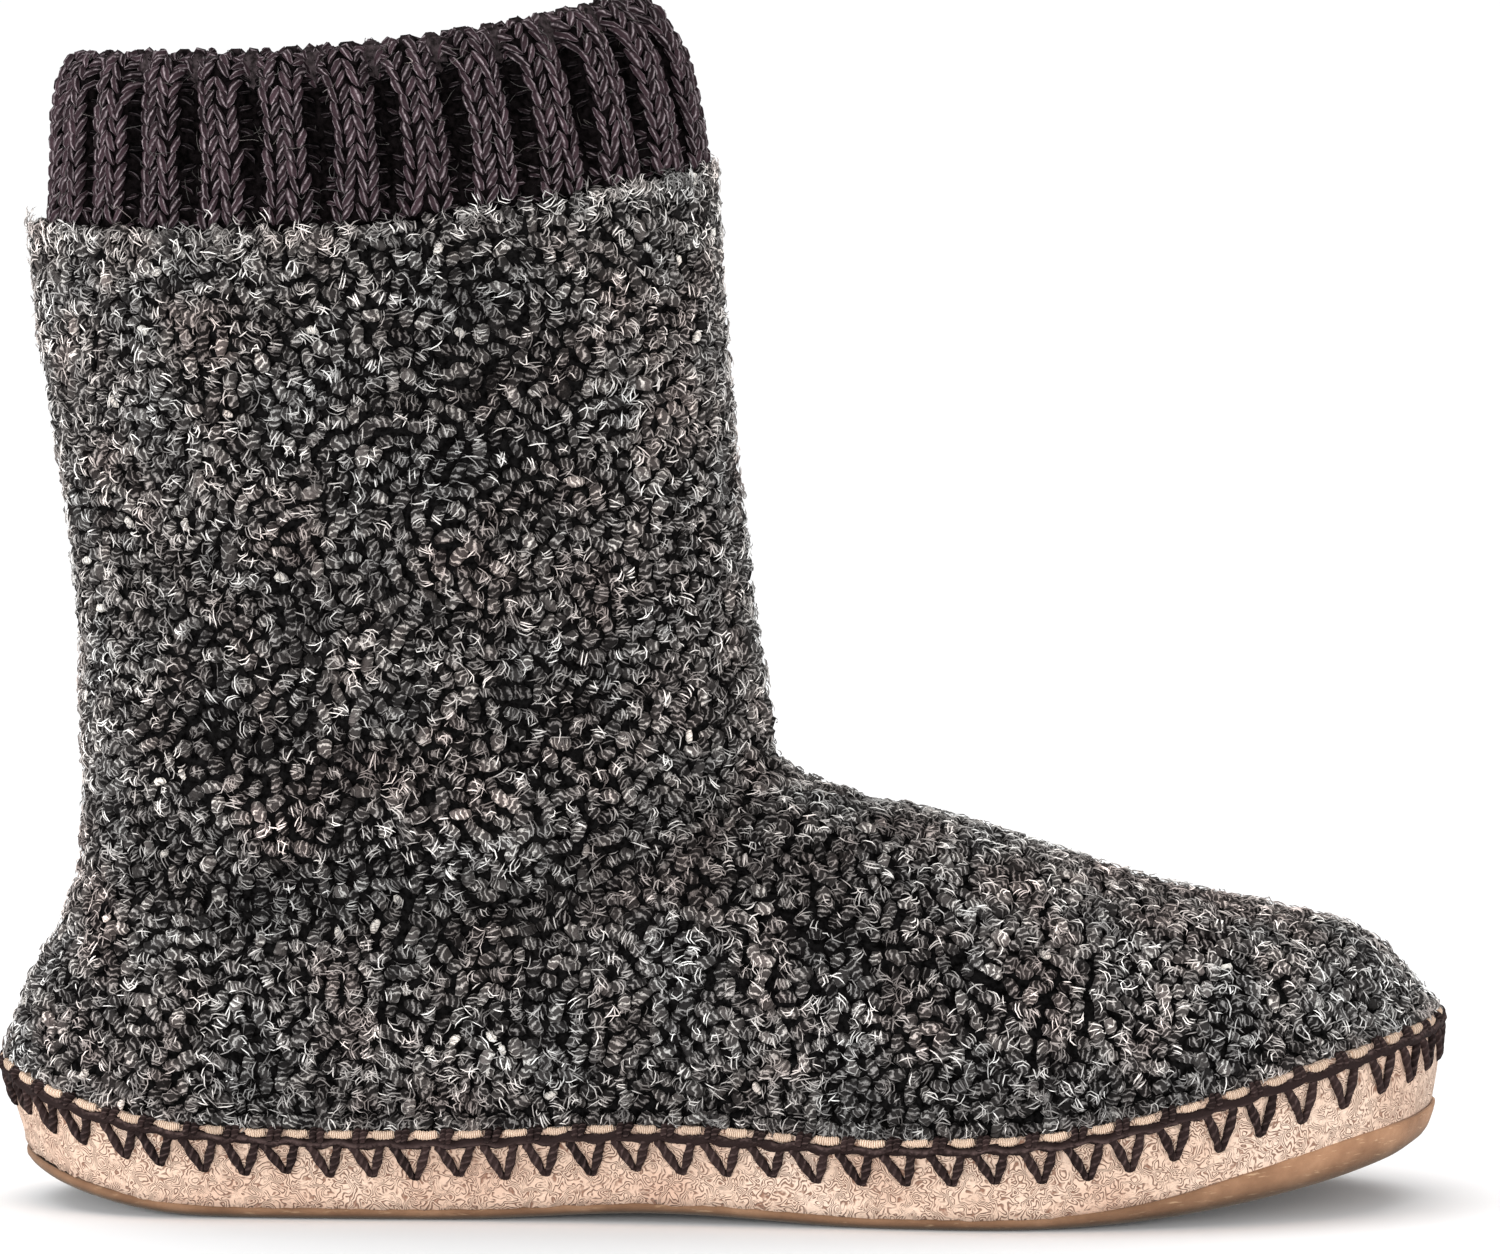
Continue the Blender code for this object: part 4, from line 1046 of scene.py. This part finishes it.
def buildWhipstitch():
    rng = np.random.default_rng(whip["seed"])
    knots = np.array(whip["apexes"], float)
    count = int(knots[-1, 0])
    pitch = randAround / count
    apex = np.interp(np.arange(count), knots[:, 0], knots[:, 1] * mm) + rng.normal(0, 0.25, count) * mm
    material = stitchMaterial("whip yarn", (0.010, 0.0058, 0.0055), (0.028, 0.0165, 0.0155), (0.13, 0.088, 0.082),
                              2, 5.0, 0.5)
    t = np.linspace(0, 1, 10)
    apexStation = station(np.interp(apex % randAround, wrapRun[:-1], wrapPlan[:, 0]))
    longer = whip["toeLonger"] * ramp(apexStation, *whip["toeLongerAt"])
    depthTo = (whip["apexDepth"] + longer + rng.normal(0, 0.35, count) * mm)[:, None]
    for name, reach in whip["legs"]:
        wide = reach + rng.normal(0, 0.3, count)[:, None] * mm
        run = apex[:, None] + wide * (1 - t) + 0.25 * mm * np.sin(math.pi * t)
        below = whip["topDepth"] + (depthTo - whip["topDepth"]) * t
        paths, reference = onRand(run, below, (0.55 * (1 - t ** 6) - 0.35 * t ** 6) * mm + 0 * below)
        radii = whip["yarn"] * np.clip(1.2 * np.sin(math.pi * np.clip(t * 0.94 + 0.05, 0, 1)) ** 0.25, 0.3, 1)
        radii = radii * (1 - whip["taper"] * t ** 3) * np.ones((count, 1))
        tubePiece(name, paths, radii, 7, reference, material, rand["slot"],
                  {"tint": rng.random(count), "shade": np.ones(count)}, lobes=0.16, twist=1.4)
    rings = whip["strandRings"]
    run = np.arange(rings) / rings * randAround
    sway = 0.28 * mm * np.sin(2 * math.pi * (run - apex[0]) / pitch) + 0.15 * mm * np.sin(run / (11 * mm))
    paths, reference = onRand(run, whip["strandDepth"] + sway, 0.62 * mm + 0 * run)
    tubePiece("edgeStrand", paths[None], np.full((1, rings), whip["strand"]), 8, reference[None], material, rand["slot"],
              {"tint": np.array([0.4]), "shade": np.ones(1)}, lobes=0.20, twist=0.85, closed=True)

    # two turns of yarn side by side close the gap between one dash and the next
    t = np.linspace(0, 1, 8)
    turns = 2 * count
    pair = np.repeat(apex - whip["wrapBehind"], 2) + np.tile((-0.5, 0.5), count) * whip["wrapApart"]
    run = (pair + rng.normal(0, 0.15, turns) * mm)[:, None]
    run = run + (0.9 * mm + rng.normal(0, 0.3, (turns, 1)) * mm) * (t - 0.5)
    out = (0.45 + 0.6 * np.sin(math.pi * t) - 1.8 * t ** 3) * mm + 0 * run
    paths, reference = onRand(run, (2.3 - 2.9 * t) * mm + 0 * run, out)
    radii = whip["wrapYarn"] * np.clip(np.sin(math.pi * np.clip(t * 0.92 + 0.04, 0, 1)) ** 0.3, 0.3, 1)
    radii = radii * np.ones((turns, 1))
    tubePiece("edgeWraps", paths, radii, 7, reference, material, rand["slot"],
              {"tint": rng.random(turns), "shade": np.ones(turns)}, lobes=0.15, twist=1.0)

    # pale dashes of the turned edge, ribbed ring by ring
    t = np.linspace(-0.5, 0.5, 14)
    run = (apex + whip["dashAhead"])[:, None] + t * (whip["dashLength"] + rng.normal(0, 0.35, count)[:, None] * mm)
    below = whip["dashDepth"] + (rng.normal(0, 0.08, count) * mm)[:, None] + 0.15 * mm * np.cos(t * 5)
    paths, reference = onRand(run, below, 0.30 * mm + 0 * below)
    ribbed = 1 + 0.10 * np.where(np.arange(14) % 2, 1, -1)
    radii = whip["dashRadius"] * (1 - 0.9 * (2 * t) ** 6) ** 0.5 * ribbed * rng.uniform(0.9, 1.1, (count, 1))
    tubePiece("edgeDashes", paths, radii, 7, reference, dashMaterial(), rand["slot"],
              {"shade": rng.uniform(0.85, 1.1, count)}, flat=0.8)


buildWhipstitch()

# soles

# the outsole's painted shade: a painted light under the lifted toe and dark painted contact shade along its foot
outsole = {
    "rim": 2.9 * mm, "rimAt": (0.76, 0.92), "rimOut": 1.0 * mm, "tipDrop": 0.55, "wobble": 0.216 * mm, "proud": 0.10 * mm,
    "toePaintedLight": 0.7, "toePaintedLightAt": (0.76, 0.94), "paintedContactShadePower": 1.9, "columns": 400, "slot": "outsole", "seed": 31,
}
footbed = {"columns": 180, "thickness": 7.0 * mm, "crown": 0.6 * mm, "slot": "insole", "fill": 0.85}


def toeRim(x, toEdge=1.0):
    # how far the outsole's edge turns up in front of the rand's foot round the toe: rim * ramp * drop * ramp
    lower = 1 - outsole["tipDrop"] * ramp(station(x), 0.93, 1)
    return outsole["rim"] * ramp(station(x), *outsole["rimAt"]) * lower * ramp(toEdge, 0.97, 1)


def slabPiece(name, edge, rows, floorAt, roofAt, material, values=None):
    # loops that run from the middle line of the floor out to the edge, round it, and back in over the roof;
    # a row is (how far in as a share, how far in from the edge, share of the thickness); the end rows meet inside
    count = len(edge)
    i = np.arange(count)
    half = count / 2
    offEnd = 1 - np.abs(2 * np.minimum(i, count - i) / half - 1) ** sole["endCurve"]
    normal = inward(edge)
    loops = []
    for share, step, height in rows:
        flat = edge + normal * np.reshape(step, (-1, 1))
        middle = (flat + flat[(count - i) % count]) / 2
        flat = flat + (middle - flat) * share
        toEdge = 1 - share * offEnd
        low, high = floorAt(flat[:, 0], toEdge), roofAt(flat[:, 0], toEdge)
        loops.append(np.concatenate([flat, (low + (high - low) * height)[:, None]], axis=1))
    made = gridPiece(name, np.stack(loops), material, values)
    shell = bmesh.new()
    shell.from_mesh(made.data)
    bmesh.ops.remove_doubles(shell, verts=shell.verts, dist=0.02 * mm)
    bmesh.ops.recalc_face_normals(shell, faces=shell.faces)
    shell.to_mesh(made.data)
    shell.free()
    made.data.shade_smooth()
    return made


def buildSoles():
    rng = np.random.default_rng(outsole["seed"])
    plan = planLoop(outsole["columns"])
    edge = randTuck(plan[:, 0]) - outsole["proud"] + outsole["wobble"] * looped(rng, len(plan), 9)
    edge = plan + inward(plan) * edge[:, None]
    lip = outsole["rimOut"] * ramp(station(plan[:, 0]), *rand["plainAt"])
    shares = np.linspace(1, 0.04, 8)
    rows = [(s, 2.9 * mm, 0.0) for s in shares] + [
        (0, 2.6 * mm, 0.0), (0, 1.4 * mm, 0.10), (0, 0.55 * mm, 0.26), (0, 0.08 * mm, 0.45), (0, -0.4 * lip, 0.68),
        (0, 0.10 * mm - 0.8 * lip, 0.90), (0, 0.40 * mm - 0.6 * lip, 1.0)] + [(s, 0.6 * mm, 1.0) for s in shares[::-1]]
    # painted contact shade by row: dark on the underside and along the lower edge where the floor's shadow falls, full
    # colour higher up
    paintedContactShade = np.concatenate([np.full(len(shares), 0.25), (0.20, 0.28, 0.55, 0.85, 1, 1, 1), np.ones(len(shares))])

    def rimmedRoof(x, toEdge):
        return outsoleRoof(x, toEdge) + toeRim(x, toEdge)

    # the lifted toe gets less painted contact shade and a painted light on its underside
    toe = ramp(station(plan[:, 0]), *outsole["toePaintedLightAt"])
    shade = paintedContactShade[:, None] ** (outsole["paintedContactShadePower"] * (1 - toe) + toe) * (1 + outsole["toePaintedLight"] * toe)
    made = slabPiece("outsoleSuede", edge, rows, underside, rimmedRoof, outsoleMaterial(),
                     {"shade": shade})
    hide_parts("outsole")


def buildFootbed():
    plan = planLoop(footbed["columns"])
    behind = rand["wall"] + upper["wall"] + 2 * sole["clearance"] + 0.5 * mm
    edge = plan + inward(plan) * (randTuck(plan[:, 0]) + behind)[:, None]
    shares = np.linspace(1, 0.05, 9)
    edgeRows = [(0, 0.9 * mm, 0.02), (0, 0.3 * mm, 0.14), (0, 0, 0.4), (0, 0, 0.6), (0, 0.4 * mm, 0.84), (0, 1.4 * mm, 0.97)]
    rows = [(share, 0.8 * mm, 0.0) for share in shares] + edgeRows + [(share, 1.6 * mm, 1.0) for share in shares[::-1]]

    def floorAt(x, toEdge):
        return outsoleRoof(x, toEdge) + sole["clearance"]

    def roofAt(x, toEdge):
        return floorAt(x, toEdge) + footbed["thickness"] - footbed["crown"] * toEdge ** 3

    material = fleeceMaterial("footbed fleece", (0.02, 0.019, 0.019), (0.11, 0.105, 0.10))
    made = slabPiece("footbedFleece", edge, rows, floorAt, roofAt, material)
    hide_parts("insole")


buildSoles()
buildFootbed()

# floor, light and camera

studio = {
    "floor": 120.0, "floorColour": (0.93, 0.93, 0.935), "sky": (1.0, 1.0, 1.0), "skyStrength": 0.55,
    "sunFrom": (-0.12, 0.45, 1.0), "sunAngle": 75, "sunPower": 1.95,
    "target": (4.46 * mm, 0, 107.2 * mm), "elevation": 4.5, "distance": 1.6, "viewWidth": 280.8 * mm,
    "aim": (0, 0, 0.1), "softboxes": (  # name, place, width and height, watts
        ("front", (-0.4, -2.0, 0.34), (2.2, 0.6), 41),
        ("left", (-1.6, -0.5, 0.34), (0.9, 0.6), 16),
        ("right", (1.5, -0.7, 0.24), (0.7, 0.4), 11),
    ),
}


def placed(name, data, direction):
    # a lamp or camera that looks against the given direction
    made = bpy.data.objects.new(name, data)
    made.rotation_mode = "QUATERNION"
    made.rotation_quaternion = Vector(direction).to_track_quat("Z", "Y")
    bpy.context.scene.collection.objects.link(made)
    return made


def buildStudio():
    half = studio["floor"]
    mesh = bpy.data.meshes.new("floor")
    mesh.from_pydata([(-half, -half, 0), (half, -half, 0), (half, half, 0), (-half, half, 0)], [], [(0, 1, 2, 3)])
    startMaterial("pale floor", 0.9, specular=0.0)
    paint["shader"].inputs["Base Color"].default_value = (*studio["floorColour"], 1)
    mesh.materials.append(paint["material"])
    floor = bpy.data.objects.new("floor", mesh)
    bpy.context.scene.collection.objects.link(floor)
    world = bpy.data.worlds.new("studio")
    bpy.context.scene.world = world
    world.use_nodes = True
    sky = world.node_tree.nodes["Background"].inputs
    sky["Color"].default_value = (*studio["sky"], 1)
    sky["Strength"].default_value = studio["skyStrength"]
    for name, place, size, watts in studio["softboxes"]:
        lamp = bpy.data.lights.new(name, "AREA")
        lamp.shape = "RECTANGLE"
        lamp.size, lamp.size_y = size
        lamp.energy = watts
        placed(name, lamp, Vector(place) - Vector(studio["aim"])).location = place
    sun = bpy.data.lights.new("overhead", "SUN")
    sun.angle = math.radians(studio["sunAngle"])
    sun.energy = studio["sunPower"]
    placed("overhead", sun, studio["sunFrom"])
    camera = bpy.data.cameras.new("camera")
    camera.sensor_width = 36
    camera.lens = 36 * studio["distance"] / studio["viewWidth"]
    camera.clip_start, camera.clip_end = 0.05, 200
    tilt = math.radians(studio["elevation"])
    back = Vector((0, -math.cos(tilt), math.sin(tilt)))
    eye = placed("camera", camera, back)
    eye.location = Vector(studio["target"]) + back * studio["distance"]
    bpy.context.scene.camera = eye
    bpy.context.scene.view_settings.view_transform = "Standard"


buildStudio()

bpy.context.view_layer.update()
